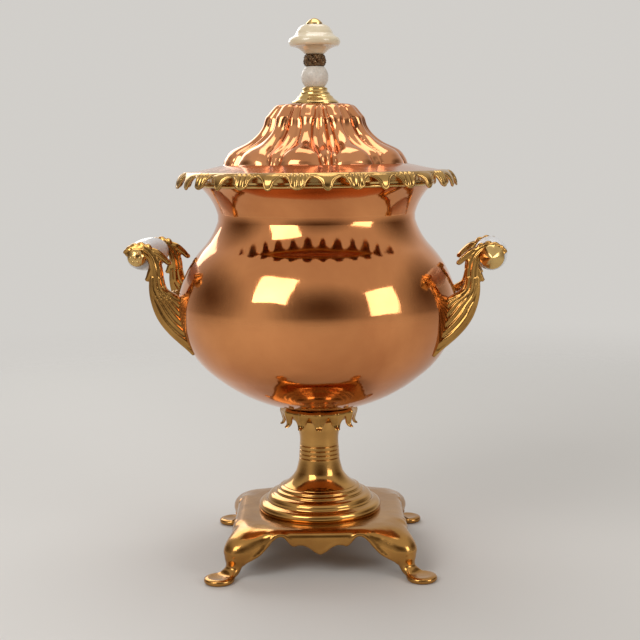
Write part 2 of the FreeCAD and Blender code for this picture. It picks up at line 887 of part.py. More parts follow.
turned(
    "finial_cap_nut",
    [
        (finial_hole, knob_top),
        (d.cap_radius, knob_top),
        (d.cap_radius, knob_top + 1),
        (d.dome_flat, cap_top, 8.5),
        (0, cap_top),
        (0, cap_top - 2),
        (finial_hole, cap_top - 2),
    ],
)
finial_under = lid_top - d.lid_wall - d.seat_clearance
finial_washer_low = finial_under - d.washer_thickness
finial_nut_low = finial_washer_low - d.finial_nut_thickness
finial_nut_bore = d.finial_rod_radius + d.running_clearance
ring("finial_rod", 0, d.finial_rod_radius, finial_nut_low - 1.5, cap_top - 2 - d.seat_clearance)
ring("finial_washer", finial_hole, d.finial_washer_radius, finial_washer_low, finial_under)
hex_nut("finial_nut", d.finial_nut_flats, finial_nut_low, d.finial_nut_thickness, finial_nut_bore)


# Handles: each casting has a broad root on the belly, two scrolled arms and an eye at each arm's end
def limb(path):
    """Loft through ellipses along a path of (x, y, z, half depth, half thickness)."""
    wires = []
    for index, (x, y, z, depth, thick) in enumerate(path):
        before = path[max(index - 1, 0)]
        after = path[min(index + 1, len(path) - 1)]
        along = Vector(after[0] - before[0], 0, after[2] - before[2]).normalize()
        across = Vector(0, 1, 0)
        in_plane = along.cross(across)
        major, minor = (depth, thick) if depth >= thick else (thick, depth)
        long_way = in_plane if depth >= thick else across
        centre = Vector(x, y, z)
        short_way = along.cross(long_way)
        edge = Part.Ellipse(centre + long_way * major, centre + short_way * minor, centre).toShape()
        wires.append(Part.Wire([edge]))
    return Part.makeLoft(wires, True, False)


eye_x = float(d.grip_reach)
eye_z = float(floor + d.grip_height)
root_top = float(floor + d.root_height)


def root_section(core, outer, half_width, bevel, level):
    """Level outline of the root: a rectangle with two rounded outer corners."""
    corners = [
        (core, -half_width),
        (outer - bevel, -half_width),
        (outer, -half_width + bevel, bevel),
        (outer, half_width - bevel),
        (outer - bevel, half_width, bevel),
        (core, half_width),
    ]
    edges = []
    for index, corner in enumerate(corners):
        edges.append(side_between(corner, corners[(index + 1) % len(corners)]).toShape())
    wire = Part.Wire(edges)
    wire.translate(Vector(0, 0, level))
    return wire


def handle_shape():
    """The right-hand casting, pointing along +X."""
    thick = float(d.arm_thickness)
    wires = []
    reach = float(d.root_reach)
    width = float(d.root_half_width)
    bevel = float(d.root_bevel)
    core = float(d.lower_radius) - 3
    root_levels = [
        (-46.0, reach - 33.0, width * 0.92),
        (-33.0, reach - 19.9, width),
        (-23.0, reach - 11.1, width),
        (-13.0, reach - 4.4, width * 0.99),
        (-5.0, reach - 1.1, width * 0.98),
        (0.0, reach, width * 0.96),
    ]
    for rise, outer, half_width in root_levels:
        wires.append(root_section(core, outer, half_width, bevel, root_top + rise))
    shape = Part.makeLoft(wires, True, False)
    low = float(d.arm_tip_spread)
    high = float(d.arm_spread)
    for side in (-1, 1):
        arm_path = [
            (reach - 32.0, side * low, root_top - 46.5, 1.9, 1.5),
            (reach - 23.5, side * (low - 1.5), root_top - 37, 4.0, 3.4),
            (reach - 14.5, side * (low - 2.5), root_top - 25.5, 5.4, thick),
            (reach - 8.0, side * (low - 3.5), root_top - 13, 5.8, thick),
            (reach - 4.6, side * (high + 1), root_top, 5.8, thick),
            (eye_x - 16.2, side * high, eye_z - 21, 5.8, thick),
            (eye_x - 16.2, side * high, eye_z - 10, 5.4, thick),
            (eye_x - 13.5, side * high, eye_z + 0.5, 5.0, thick),
            (eye_x - 7, side * high, eye_z + 8, 4.5, thick),
            (eye_x + 1, side * high, eye_z + 9.5, 3.8, thick),
            (eye_x + 7.5, side * high, eye_z + 7.2, 2.8, thick * 0.8),
            (eye_x + 11.8, side * high, eye_z + 3.2, 1.5, thick * 0.6),
        ]
        crest_path = [
            (eye_x - 11, side * high, eye_z + 6.5, 3.4, thick * 0.8),
            (eye_x - 18, side * high, eye_z, 3.0, thick * 0.7),
            (eye_x - 26.5, side * high, eye_z - 8, 0.9, 1.2),
        ]
        sprout_path = [
            (eye_x - 15, side * high, eye_z - 5, 3.2, thick * 0.7),
            (eye_x - 10.5, side * high, eye_z - 12, 2.6, thick * 0.6),
            (eye_x - 6, side * high, eye_z - 18.5, 0.9, 1.2),
        ]
        for path in (arm_path, crest_path, sprout_path):
            shape = shape.fuse(limb(path))
        eye_start = Vector(eye_x, side * high - float(d.eye_thickness) / 2, eye_z)
        eye = Part.makeCylinder(float(d.eye_radius), float(d.eye_thickness), eye_start, Vector(0, 1, 0))
        shape = shape.fuse(eye)
    bore_radius = float(d.grip_rod_radius + d.running_clearance)
    bore_half = high + float(d.eye_thickness)
    bore_start = Vector(eye_x, -bore_half, eye_z)
    bore = Part.makeCylinder(bore_radius, 2 * bore_half, bore_start, Vector(0, 1, 0))
    shape = shape.cut(vessel_block).cut(bore)
    for level in (screw_level, screw_level + d.screw_pitch):
        start = Vector(float(d.lower_radius), 0, float(level))
        length = float(d.belly_radius - d.lower_radius + d.screw_bite + d.free_gap)
        shape = shape.cut(Part.makeCylinder(float(screw_hole), length, start, Vector(1, 0, 0)))
    return shape


handle_block = handle_shape()
for side_name, quarter in (("right", 0.0), ("left", 180.0)):
    casting = shaped("handle_" + side_name, handle_block)
    turn_with_vessel(casting, quarter)

# Grips, their rods and end caps, and the screws inside the vessel, one set for each handle
grip_half = d.arm_spread - d.eye_thickness / 2 - d.free_gap
cap_seat = d.arm_spread + d.eye_thickness / 2


def lie_along_depth(piece, quarter, flip=1):
    """Lay a piece turned about Z along the grip's axis, with its top end away from the middle."""
    tilt = Rotation(Vector(1, 0, 0), -90 * flip)
    piece.Placement = Placement(Vector(eye_x, 0, eye_z), tilt)
    turn_with_vessel(piece, quarter)


def pointed_cap(label):
    return turned(
        label,
        [
            (d.grip_rod_radius + d.running_clearance, cap_seat),
            (d.cone_cap_radius, cap_seat),
            (d.cone_cap_radius - 0.2, cap_seat + 1.6),
            (0, cap_seat + d.cone_cap_height),
            (0, d.grip_rod_end + d.seat_clearance),
            (d.grip_rod_radius + d.running_clearance, d.grip_rod_end + d.seat_clearance),
        ],
    )


def round_cap(label):
    return turned(
        label,
        [
            (d.grip_rod_radius + d.running_clearance, cap_seat),
            (d.round_cap_radius, cap_seat),
            (d.round_cap_radius, cap_seat + 2),
            (d.dome_flat, cap_seat + d.round_cap_height, d.round_cap_radius + 1.3),
            (0, cap_seat + d.round_cap_height),
            (0, d.grip_rod_end + d.seat_clearance),
            (d.grip_rod_radius + d.running_clearance, d.grip_rod_end + d.seat_clearance),
        ],
    )


for side_name, quarter in (("right", 0.0), ("left", 180.0)):
    grip_bore = d.grip_rod_radius + d.running_clearance
    end_radius = d.grip_radius - 2
    grip = turned(
        "grip_" + side_name,
        [
            (grip_bore, -grip_half),
            (end_radius, -grip_half),
            (d.grip_radius, -grip_half * 0.8, 9.0),
            (d.grip_radius, grip_half * 0.8),
            (end_radius, grip_half, 9.0),
            (grip_bore, grip_half),
        ],
    )
    lie_along_depth(grip, quarter)
    rod = ring("grip_rod_" + side_name, 0, d.grip_rod_radius, -d.grip_rod_end, d.grip_rod_end)
    lie_along_depth(rod, quarter)
    make_cap = pointed_cap if side_name == "right" else round_cap
    front = -1 if side_name == "right" else 1
    lie_along_depth(make_cap("grip_cap_front_" + side_name), quarter, front)
    lie_along_depth(make_cap("grip_cap_back_" + side_name), quarter, -front)

    screw_label = "handle_screws_" + side_name
    screws = new_body(screw_label)
    for place, rise, inset in (("low", 0, 1.8), ("high", d.screw_pitch, 1.5)):
        head_seat = d.belly_radius - d.wall - inset
        screw_sketch = outline(
            screws,
            f"{screw_label}_{place}",
            "XZ_Plane",
            [
                (head_seat - 2.2, rise),
                (head_seat - 2.2, rise + d.screw_head - 1),
                (head_seat - 1.2, rise + d.screw_head, -1.5),
                (head_seat, rise + d.screw_head),
                (head_seat, rise + d.screw_radius),
                (d.belly_radius + d.screw_bite, rise + d.screw_radius),
                (d.belly_radius + d.screw_bite, rise),
            ],
        )
        screw_axis = "H_Axis" if place == "low" else "Edge7"
        spin(screws, f"{screw_label}_{place}_turning", screw_sketch, screw_axis)
    screws.Placement = Placement(Vector(0, 0, float(screw_level)), Rotation())
    turn_with_vessel(screws, quarter)

# Tap: body with shank, barrel and spout in one casting, on the far side of the vessel
tap = new_body("tap_body")
barrel_sketch = outline(
    tap,
    "barrel_profile",
    "XZ_Plane",
    [
        (0, -d.barrel_half),
        (d.barrel_radius, -d.barrel_half),
        (d.barrel_radius, -d.barrel_half + 3),
        (d.barrel_radius - 1, -d.barrel_half + 4),
        (d.barrel_radius - 1, d.barrel_half - 4),
        (d.barrel_radius, d.barrel_half - 3),
        (d.barrel_radius, d.barrel_half),
        (0, d.barrel_half),
    ],
)
spin(tap, "barrel", barrel_sketch)
shank_end = d.tap_reach - d.shank_start
flange_face = d.tap_reach - d.escutcheon_face - d.gasket_thickness
shank_sketch = outline(
    tap,
    "shank_profile",
    "XY_Plane",
    [
        (0, 0),
        (0, -shank_end),
        (d.shank_radius, -shank_end),
        (d.shank_radius, -flange_face),
        (d.escutcheon_radius - 2, -flange_face),
        (d.escutcheon_radius - 2, -flange_face + 2),
        (d.shank_radius, -flange_face + 3),
        (d.shank_radius, 0),
    ],
)
spin(tap, "shank", shank_sketch)
spout_path = new_sketch(tap, "spout_path", "YZ_Plane")
bend = d.spout_bend
straight_out = d.spout_reach - bend
spout_line = spout_path.addGeometry(
    Part.LineSegment(Vector(0, 0, 0), Vector(float(straight_out), 0, 0))
)
bend_arc = Part.ArcOfCircle(
    Part.Circle(Vector(float(straight_out), -float(bend), 0), Vector(0, 0, 1), float(bend)),
    0,
    math.pi / 2,
)
spout_arc = spout_path.addGeometry(bend_arc)
spout_fall = spout_path.addGeometry(
    Part.LineSegment(
        Vector(float(d.spout_reach), -float(bend), 0),
        Vector(float(d.spout_reach), -float(d.spout_drop), 0),
    )
)
spout_path.addConstraint(Sketcher.Constraint("Coincident", spout_line, 1, -1, 1))
hold_point(spout_path, spout_line, 2, straight_out, 0)
spout_path.addConstraint(Sketcher.Constraint("Coincident", spout_line, 2, spout_arc, 2))
spout_path.addConstraint(Sketcher.Constraint("Coincident", spout_arc, 1, spout_fall, 1))
hold(spout_path, Sketcher.Constraint("Radius", spout_arc, float(bend)), bend)
hold_point(spout_path, spout_fall, 1, d.spout_reach, -bend)
hold_point(spout_path, spout_fall, 2, d.spout_reach, -d.spout_drop)
spout_circle = disc(tap, "spout_circle", "XZ_Plane", 0, 0, d.spout_radius)
spout = tap.newObject("PartDesign::AdditivePipe", "spout")
spout.Profile = spout_circle
spout.Spine = (spout_path, ["Edge1", "Edge2", "Edge3"])
doc.recompute()
bore_circle = disc(tap, "spout_bore_circle", "XZ_Plane", 0, 0, d.spout_bore)
spout_bore = tap.newObject("PartDesign::SubtractivePipe", "spout_bore_cut")
spout_bore.Profile = bore_circle
spout_bore.Spine = (spout_path, ["Edge1", "Edge2", "Edge3"])
doc.recompute()
shank_bore = disc(tap, "shank_bore_circle", "XZ_Plane", 0, 0, d.shank_bore)
shank_cut = tap.newObject("PartDesign::Pocket", "shank_bore_cut")
shank_cut.Profile = shank_bore
shank_cut.Type = "Length"
shank_cut.Length = float(shank_end + 1)
shank_cut.setExpression("Length", (shank_end + 1).formula)
shank_cut.Reversed = True
doc.recompute()
taper_sketch = outline(
    tap,
    "taper_profile",
    "XZ_Plane",
    [
        (0, -d.barrel_half),
        (d.plug_bottom_radius, -d.barrel_half),
        (d.plug_top_radius, d.barrel_half),
        (0, d.barrel_half),
    ],
)
taper = tap.newObject("PartDesign::Groove", "taper_cut")
taper.Profile = taper_sketch
taper.ReferenceAxis = (taper_sketch, ["V_Axis"])
taper.Angle = 360
doc.recompute()


def place_at_tap(piece):
    piece.Placement = Placement(Vector(0, float(d.tap_reach), float(tap_level)), Rotation())
    turn_with_vessel(piece)


place_at_tap(tap)

# Key: a tapered plug with a cross port, a stem and a side lever that carries a china grip
key = new_body("tap_key")
clear = d.running_clearance
tail_low = -d.barrel_half - d.washer_thickness - d.nut_thickness - 2
key_sketch = outline(
    key,
    "key_profile",
    "XZ_Plane",
    [
        (0, tail_low),
        (d.key_tail_radius, tail_low),
        (d.key_tail_radius, -d.barrel_half),
        (d.plug_bottom_radius - clear, -d.barrel_half),
        (d.plug_top_radius - clear, d.barrel_half),
        (d.plug_top_radius - clear, d.barrel_half + 1),
        (d.key_stem_radius, d.barrel_half + 3),
        (d.key_stem_radius, d.lever_rise + 2.5),
        (d.dome_flat, d.lever_rise + 5, 8.0),
        (0, d.lever_rise + 5),
    ],
)
spin(key, "key_turning", key_sketch)
lever_sketch = disc(key, "lever_circle", "YZ_Plane", 0, d.lever_rise, d.lever_radius)
pad(key, "lever", lever_sketch, d.lever_length)
lever_eye_low = d.lever_rise - d.lever_eye_height / 2
eye_sketch = disc(key, "lever_eye_circle", "XY_Plane", d.lever_length, 0, d.lever_eye_radius, lever_eye_low)
pad(key, "lever_eye", eye_sketch, d.lever_eye_height)
port_sketch = disc(key, "port_circle", "YZ_Plane", 0, 0, d.plug_port)
pocket_through(key, "port", port_sketch)
pin_bore = d.pin_radius + clear
pin_hole = disc(key, "pin_hole_circle", "XY_Plane", d.lever_length, 0, pin_bore)
pocket_through(key, "pin_hole", pin_hole)
place_at_tap(key)


def place_at_lever(piece):
    piece.Placement = Placement(
        Vector(float(d.lever_length), float(d.tap_reach), float(tap_level)), Rotation()
    )
    turn_with_vessel(piece)


grip_low = d.lever_rise + d.lever_eye_height / 2
china_bore = d.pin_radius + d.seat_clearance
key_grip = turned(
    "tap_key_grip",
    [
        (china_bore, grip_low),
        (d.key_grip_radius * 0.6, grip_low),
        (d.key_grip_radius * 0.6, grip_low + 2),
        (d.key_grip_radius, grip_low + d.key_grip_height * 0.65, -60.0),
        (d.key_grip_radius * 0.5, grip_low + d.key_grip_height, 8.5),
        (china_bore, grip_low + d.key_grip_height),
    ],
)
place_at_lever(key_grip)
pin_top = grip_low + d.key_grip_height
key_pin = turned(
    "tap_key_pin",
    [
        (0, lever_eye_low),
        (d.pin_radius, lever_eye_low),
        (d.pin_radius, pin_top),
        (d.pin_head_radius, pin_top),
        (d.dome_flat, pin_top + 1.8, 4.0),
        (0, pin_top + 1.8),
    ],
)
place_at_lever(key_pin)
key_washer = ring(
    "tap_key_washer",
    d.key_tail_radius + d.seat_clearance,
    d.washer_radius,
    -d.barrel_half - d.free_gap - d.washer_thickness,
    -d.barrel_half - d.free_gap,
)
place_at_tap(key_washer)
key_nut_low = -d.barrel_half - d.free_gap - d.washer_thickness - d.nut_thickness
key_nut = hex_nut("tap_key_nut", d.nut_flats, key_nut_low, d.nut_thickness, d.key_tail_radius + clear)
place_at_tap(key_nut)

# Escutcheon outside the wall, gasket on its face, and nut inside the wall
shank_hole = float(d.shank_radius + d.seat_clearance)
tap_axis = Vector(0, 1, 0)


def cylinder_on_tap(radius, start, end):
    base_point = Vector(0, float(start), float(tap_level))
    return Part.makeCylinder(float(radius), float(end) - float(start), base_point, tap_axis)


escutcheon_block = cylinder_on_tap(d.escutcheon_radius, d.shank_start, d.escutcheon_face)
escutcheon_hole = cylinder_on_tap(shank_hole, d.shank_start - 1, d.escutcheon_face + 1)
escutcheon = shaped("tap_escutcheon", escutcheon_block.cut(vessel_block).cut(escutcheon_hole))
turn_with_vessel(escutcheon)
gasket = ring(
    "tap_gasket",
    d.shank_radius + d.seat_clearance,
    d.escutcheon_radius - 2,
    d.escutcheon_face,
    d.escutcheon_face + d.gasket_thickness,
)
gasket.Placement = Placement(Vector(0, 0, float(tap_level)), Rotation(Vector(1, 0, 0), -90))
turn_with_vessel(gasket)
nut_end = d.shank_start + 1 + d.shank_nut_thickness
wedge_block = cylinder_on_tap(d.escutcheon_radius - 2, nut_end, d.escutcheon_face)
wedge_hole = cylinder_on_tap(shank_hole, nut_end - 1, d.escutcheon_face)
wedge = wedge_block.cut(wedge_hole).common(vessel_cavity)
shaped("tap_wedge_washer", wedge)
turn_with_vessel(nodes[-1])
nut_corner = float(d.shank_nut_flats) / math.sqrt(3)
nut_points = []
for step in range(7):
    angle = math.radians(60 * step)
    nut_points.append(
        Vector(nut_corner * math.cos(angle), 0, float(tap_level) + nut_corner * math.sin(angle))
    )
nut_face = Part.Face(Part.makePolygon(nut_points))
nut_face.translate(Vector(0, float(d.shank_start + 1), 0))
nut_block = nut_face.extrude(Vector(0, float(d.shank_nut_thickness), 0))
nut_thread = cylinder_on_tap(d.shank_radius + clear, d.shank_start, nut_end + 1)
shank_nut = shaped("tap_shank_nut", nut_block.cut(nut_thread))
turn_with_vessel(shank_nut)

# Heater: a central copper sleeve, closed below, with an iron core that hangs from its cover
sleeve_low = floor + d.wall + d.seat_clearance
sleeve_top = sleeve_low + d.sleeve_height
turned(
    "heater_sleeve",
    [
        (0, sleeve_low),
        (d.sleeve_radius, sleeve_low),
        (d.sleeve_radius, sleeve_top),
        (d.sleeve_radius - d.sleeve_wall, sleeve_top),
        (d.sleeve_radius - d.sleeve_wall, sleeve_low + d.sleeve_wall),
        (0, sleeve_low + d.sleeve_wall),
    ],
)
cover_low = sleeve_top + d.free_gap
core_top = cover_low - d.core_gap
core_low = sleeve_low + d.sleeve_wall + d.core_under
turned(
    "heater_core",
    [
        (0, core_low),
        (d.core_radius - 2, core_low),
        (d.core_radius, core_low + 2),
        (d.core_radius, core_top - 2),
        (d.core_radius - 2, core_top),
        (d.hook_radius, core_top),
        (d.hook_radius, cover_low),
        (0, cover_low),
    ],
)
cover_top = cover_low + d.cover_thickness
turned(
    "heater_cover",
    [
        (0, cover_low),
        (d.sleeve_radius + d.cover_lap, cover_low),
        (d.sleeve_radius + d.cover_lap, cover_low + d.cover_thickness / 2),
        (d.cover_knob_radius - 3, cover_top),
        (d.cover_knob_radius - 3, cover_top + 3),
        (d.cover_knob_radius, cover_top + 6, 3.5),
        (d.dome_flat, cover_top + d.cover_knob_height, d.cover_knob_radius + 0.5),
        (0, cover_top + d.cover_knob_height),
    ],
)

# Every feature and shape is checked before anything is written
doc.recompute()
for item in doc.Objects:
    if "Invalid" in item.State or "Error" in item.State:
        raise RuntimeError(f"{item.Label} did not build: {item.State}")
for node in nodes:
    if node.Shape.isNull() or not node.Shape.isValid():
        raise RuntimeError(f"{node.Label} has no valid shape")
    box = node.Shape.BoundBox
    print(
        f"{node.Label:24s} solids {len(node.Shape.Solids):2d} volume {node.Shape.Volume:10.1f} "
        f"x {box.XMin:7.1f} {box.XMax:7.1f} y {box.YMin:7.1f} {box.YMax:7.1f} z {box.ZMin:6.1f} {box.ZMax:6.1f}"
    )
for node in nodes:
    node.Shape.exportStep(f"parts/{node.Label}.step")
print(len(nodes), "pieces written")
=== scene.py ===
import json
import math

import bmesh
import bpy
import numpy as np
from mathutils import Matrix, Vector


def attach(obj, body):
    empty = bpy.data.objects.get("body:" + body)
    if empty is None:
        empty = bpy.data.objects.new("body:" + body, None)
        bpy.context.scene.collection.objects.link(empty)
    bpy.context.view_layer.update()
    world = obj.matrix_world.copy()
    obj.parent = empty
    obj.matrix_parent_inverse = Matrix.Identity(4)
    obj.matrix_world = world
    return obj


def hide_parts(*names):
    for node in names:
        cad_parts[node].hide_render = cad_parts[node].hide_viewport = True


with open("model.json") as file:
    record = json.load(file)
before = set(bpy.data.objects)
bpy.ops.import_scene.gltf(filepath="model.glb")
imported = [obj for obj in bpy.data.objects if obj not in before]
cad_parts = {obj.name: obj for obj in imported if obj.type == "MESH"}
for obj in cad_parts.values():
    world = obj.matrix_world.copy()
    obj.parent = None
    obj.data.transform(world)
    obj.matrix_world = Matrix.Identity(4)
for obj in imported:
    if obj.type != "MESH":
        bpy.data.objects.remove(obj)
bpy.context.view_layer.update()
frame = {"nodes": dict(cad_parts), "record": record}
print("frame loaded:", len(frame["nodes"]), "nodes")

mm = 0.001  # every shape below is worked out in millimetres

# levels and turns that the pieces share
urn = {
    "floor": 132.0,
    "wall": 1.5,
    "vesselTurn": math.radians(-6.6),
}


# surfaces: grids of points with four-sided faces between neighbours
def gridQuads(rows, columns, closeRows=False, closeColumns=True):
    down = np.arange(rows if closeRows else rows - 1)
    along = np.arange(columns if closeColumns else columns - 1)
    row, column = np.meshgrid(down, along, indexing="ij")
    nextRow = (row + 1) % rows
    nextColumn = (column + 1) % columns
    corners = [row * columns + column, row * columns + nextColumn,
               nextRow * columns + nextColumn, nextRow * columns + column]
    return np.stack(corners, -1).reshape(-1, 4)


def gridPart(points, closeRows=False, closeColumns=True):
    rows, columns = points.shape[:2]
    return points.reshape(-1, 3), gridQuads(rows, columns, closeRows, closeColumns)


def ringPart(line, steps):
    # solid of revolution of a line whose last point joins its first
    return gridPart(spin(line, steps), closeRows=True)


def addObject(name, data):
    piece = bpy.data.objects.new(name, data)
    bpy.context.scene.collection.objects.link(piece)
    return piece


def makeMesh(name, parts):
    # joins the parts' arrays, merges doubled points at poles and seams, and turns faces outwards
    points, quads, base = [], [], 0
    for partPoints, partQuads in parts:
        points.append(partPoints)
        quads.append(partQuads + base)
        base += len(partPoints)
    points = np.concatenate(points) * mm
    quads = np.concatenate(quads)
    mesh = bpy.data.meshes.new(name)
    mesh.from_pydata(points, [], quads)
    shape = bmesh.new()
    shape.from_mesh(mesh)
    bmesh.ops.remove_doubles(shape, verts=shape.verts, dist=2e-6)
    bmesh.ops.dissolve_degenerate(shape, edges=shape.edges, dist=1e-7)
    bmesh.ops.recalc_face_normals(shape, faces=shape.faces)
    shape.to_mesh(mesh)
    shape.free()
    return mesh


def addPiece(name, parts, material, body, nodes, sharp=38):
    mesh = makeMesh(name, parts)
    mesh.shade_smooth()
    mesh.set_sharp_from_angle(angle=math.radians(sharp))
    mesh.materials.append(material)
    piece = addObject(name, mesh)
    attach(piece, body)
    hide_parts(*nodes)
    return piece


def castTogether(piece, voxel, rounds):
    # melts overlapping solids into one skin, then eases its surface
    melt = piece.modifiers.new("melt", "REMESH")
    melt.mode = "VOXEL"
    melt.voxel_size = voxel * mm
    melt.use_smooth_shade = True
    ease = piece.modifiers.new("ease", "SMOOTH")
    ease.factor = 0.5
    ease.iterations = rounds


def softenEdges(piece, width):
    bevel = piece.modifiers.new("soft edges", "BEVEL")
    bevel.width = width * mm
    bevel.segments = 2
    bevel.limit_method = "ANGLE"
    bevel.angle_limit = math.radians(35)


# lines
def arcLine(start, end, radius, steps):
    # points of the arc from start to end: its centre is left of the way where the radius is positive
    start, end = np.array(start, float), np.array(end, float)
    chord = end - start
    half = np.hypot(*chord) / 2
    left = np.array([-chord[1], chord[0]]) / (2 * half)
    away = math.sqrt(max(radius * radius - half * half, 0.0))
    centre = (start + end) / 2 + left * away * np.sign(radius)
    first = math.atan2(*(start - centre)[::-1])
    last = math.atan2(*(end - centre)[::-1])
    turn = (last - first + math.pi) % (2 * math.pi) - math.pi
    angles = first + turn * np.linspace(0, 1, steps)
    return centre + abs(radius) * np.stack([np.cos(angles), np.sin(angles)], -1)


def cornerLine(corners, steps=12):
    # line through (radius, height) corners; a third number is the radius of the arc that ends there
    line = [np.array([corners[0][:2]], float)]
    for before, corner in zip(corners, corners[1:]):
        if len(corner) == 3:
            line.append(arcLine(before[:2], corner[:2], corner[2], steps)[1:])
        else:
            line.append(np.array([corner[:2]], float))
    return np.concatenate(line)


def flowLine(points, steps):
    # smooth curve through points: each piece is a cubic whose end slopes join the points beside it
    points = np.array(points, float)
    padded = np.concatenate([2 * points[:1] - points[1:2], points, 2 * points[-1:] - points[-2:-1]])
    place = np.linspace(0, len(points) - 1, steps)
    index = np.minimum(place.astype(int), len(points) - 2)
    part = (place - index)[:, None]
    a, b, c, e = padded[index], padded[index + 1], padded[index + 2], padded[index + 3]
    return 0.5 * (2 * b + (c - a) * part + (2 * a - 5 * b + 4 * c - e) * part ** 2
                  + (3 * b - a - 3 * c + e) * part ** 3)


def unitWay(line):
    # way along a line of points, of length one
    way = np.gradient(line, axis=0)
    return way / np.linalg.norm(way, axis=1, keepdims=True)


def offsetLine(line, depth):
    # the same line moved to its left by depth
    way = unitWay(line)
    return line + depth * np.stack([-way[:, 1], way[:, 0]], -1)


def fullTurn(steps):
    return np.linspace(0, 2 * math.pi, steps, endpoint=False)


def polar(radius, angle, height):
    # x = r cos a, y = r sin a
    reach = [radius * np.cos(angle), radius * np.sin(angle)]
    return np.stack([*reach, np.broadcast_to(height, reach[0].shape)], -1)


def spin(line, steps):
    # turns a (radius, height) line about Z
    return polar(line[:, :1], fullTurn(steps), line[:, 1:])


def turnAboutZ(points, angle):
    x, y = points[..., 0], points[..., 1]
    cos, sin = math.cos(angle), math.sin(angle)
    return np.stack([x * cos - y * sin, x * sin + y * cos, points[..., 2]], -1)


def carried(path, wide, deep, side, around, ribs=0, ribDepth=0.0):
    # closed section carried along a path: centre + side * wide * cos a + normal * deep * sin a,
    # where a ripple of ribs deepens and fills the section as a goes round
    way = unitWay(path)
    side = np.broadcast_to(np.array(side, float), path.shape)
    normal = np.cross(way, side)
    normal /= np.linalg.norm(normal, axis=1, keepdims=True)
    across = np.cross(normal, way)
    angle = fullTurn(around)
    ripple = 1 + ribDepth * np.cos(ribs * angle)
    points = (path[:, None] + across[:, None] * (wide[:, None] * (np.cos(angle) * ripple))[..., None]
              + normal[:, None] * (deep[:, None] * (np.sin(angle) * ripple))[..., None])
    return capped(points)


def ringTube(path, radius, around=10):
    # tube round a closed line: each section stands square to the way between the points beside it
    way = np.roll(path, -1, 0) - np.roll(path, 1, 0)
    way /= np.linalg.norm(way, axis=1, keepdims=True)
    side = np.cross(way, path * [1, 1, 0])
    side /= np.linalg.norm(side, axis=1, keepdims=True)
    out = np.cross(side, way)
    angle = fullTurn(around)[None, :, None]
    points = path[:, None] + radius * (out[:, None] * np.cos(angle) + side[:, None] * np.sin(angle))
    return gridPart(points, closeRows=True)


def capped(points):
    # closes both ends of a tube with a point in the middle of each
    first = np.broadcast_to(points[:1].mean(1, keepdims=True), points[:1].shape)
    last = np.broadcast_to(points[-1:].mean(1, keepdims=True), points[:1].shape)
    return gridPart(np.concatenate([first, points, last]))


def hangingLine(fall, steps, rows, length):
    # teeth that hang down a fall line: row by row the share and the distance travelled down each tooth,
    # and there its radius, height and way out (along the radius, upwards)
    line = flowLine(fall, steps)
    travelled = np.concatenate([[0], np.cumsum(np.hypot(*np.diff(line, axis=0).T))])
    way = unitWay(line)
    down = np.linspace(0, 1, rows)[:, None]
    along = down * length
    values = (line[:, 0], line[:, 1], -way[:, 1], way[:, 0])
    return down, along, [np.interp(along, travelled, value) for value in values]


def hangingFaces(place, angle, face, half):
    # front face moved out by face and back face moved in by half
    radius, height, outX, outZ = place
    faces = []
    for move in (face, -half):
        faces.append(polar(radius + outX * move, angle, height + outZ * move))
    return faces


# materials
def newMaterial(name):
    material = bpy.data.materials.new(name)
    material.use_nodes = True
    tree = material.node_tree
    place = tree.nodes.new("ShaderNodeTexCoord").outputs["Object"]
    return material, tree, tree.nodes["Principled BSDF"], place


def addNode(tree, kind, inputs=None, **settings):
    node = tree.nodes.new("ShaderNode" + kind)
    for key, value in settings.items():
        setattr(node, key, value)
    for key, value in (inputs or {}).items():
        if isinstance(value, bpy.types.NodeSocket):
            tree.links.new(value, node.inputs[key])
        else:
            node.inputs[key].default_value = value
    return node


def blendRamp(tree, factor, stops):
    ramp = addNode(tree, "ValToRGB", {"Fac": factor})
    elements = ramp.color_ramp.elements
    while len(elements) < len(stops):
        elements.new(0.5)
    for element, (position, colour) in zip(elements, stops):
        element.position = position
        element.color = (*colour, 1)
    return ramp.outputs["Color"]


def valueRange(tree, value, low, high, lowest, highest):
    mapped = addNode(tree, "MapRange", {"Value": value, "From Min": low, "From Max": high,
                                        "To Min": lowest, "To Max": highest})
    return mapped.outputs["Result"]


def mixColour(tree, factor, first, second, blend="MIX"):
    mix = addNode(tree, "Mix", data_type="RGBA", blend_type=blend)
    for socket, value in ((mix.inputs[0], factor), (mix.inputs[6], first), (mix.inputs[7], second)):
        if isinstance(value, bpy.types.NodeSocket):
            tree.links.new(value, socket)
        elif socket == mix.inputs[0]:
            socket.default_value = value
        else:
            socket.default_value = (*value, 1)
    return mix.outputs[2]


def addBump(tree, height, depth, normal=None):
    inputs = {"Height": height, "Strength": 1.0, "Distance": depth * mm}
    if normal is not None:
        inputs["Normal"] = normal
    return addNode(tree, "Bump", inputs).outputs["Normal"]


def turningLines(tree, place):
    # fine lines left by the lathe: noise read from the height alone
    parts = addNode(tree, "SeparateXYZ", {"Vector": place})
    return addNode(tree, "TexNoise", {"W": parts.outputs["Z"], "Scale": 900.0, "Detail": 3.0},
                   noise_dimensions="1D").outputs["Fac"]


def drawnLines(tree, place):
    # streaks up and down a round body: noise read from the angle about Z and a little from height
    parts = addNode(tree, "SeparateXYZ", {"Vector": place})
    angle = addNode(tree, "Math", {0: parts.outputs["Y"], 1: parts.outputs["X"]}, operation="ARCTAN2")
    slow = addNode(tree, "Math", {0: parts.outputs["Z"], 1: 1.5}, operation="MULTIPLY")
    plane = addNode(tree, "CombineXYZ", {"X": angle.outputs[0], "Y": slow.outputs[0]})
    return addNode(tree, "TexNoise", {"Vector": plane.outputs[0], "Scale": 28.0, "Detail": 4.0},
                   noise_dimensions="2D").outputs["Fac"]


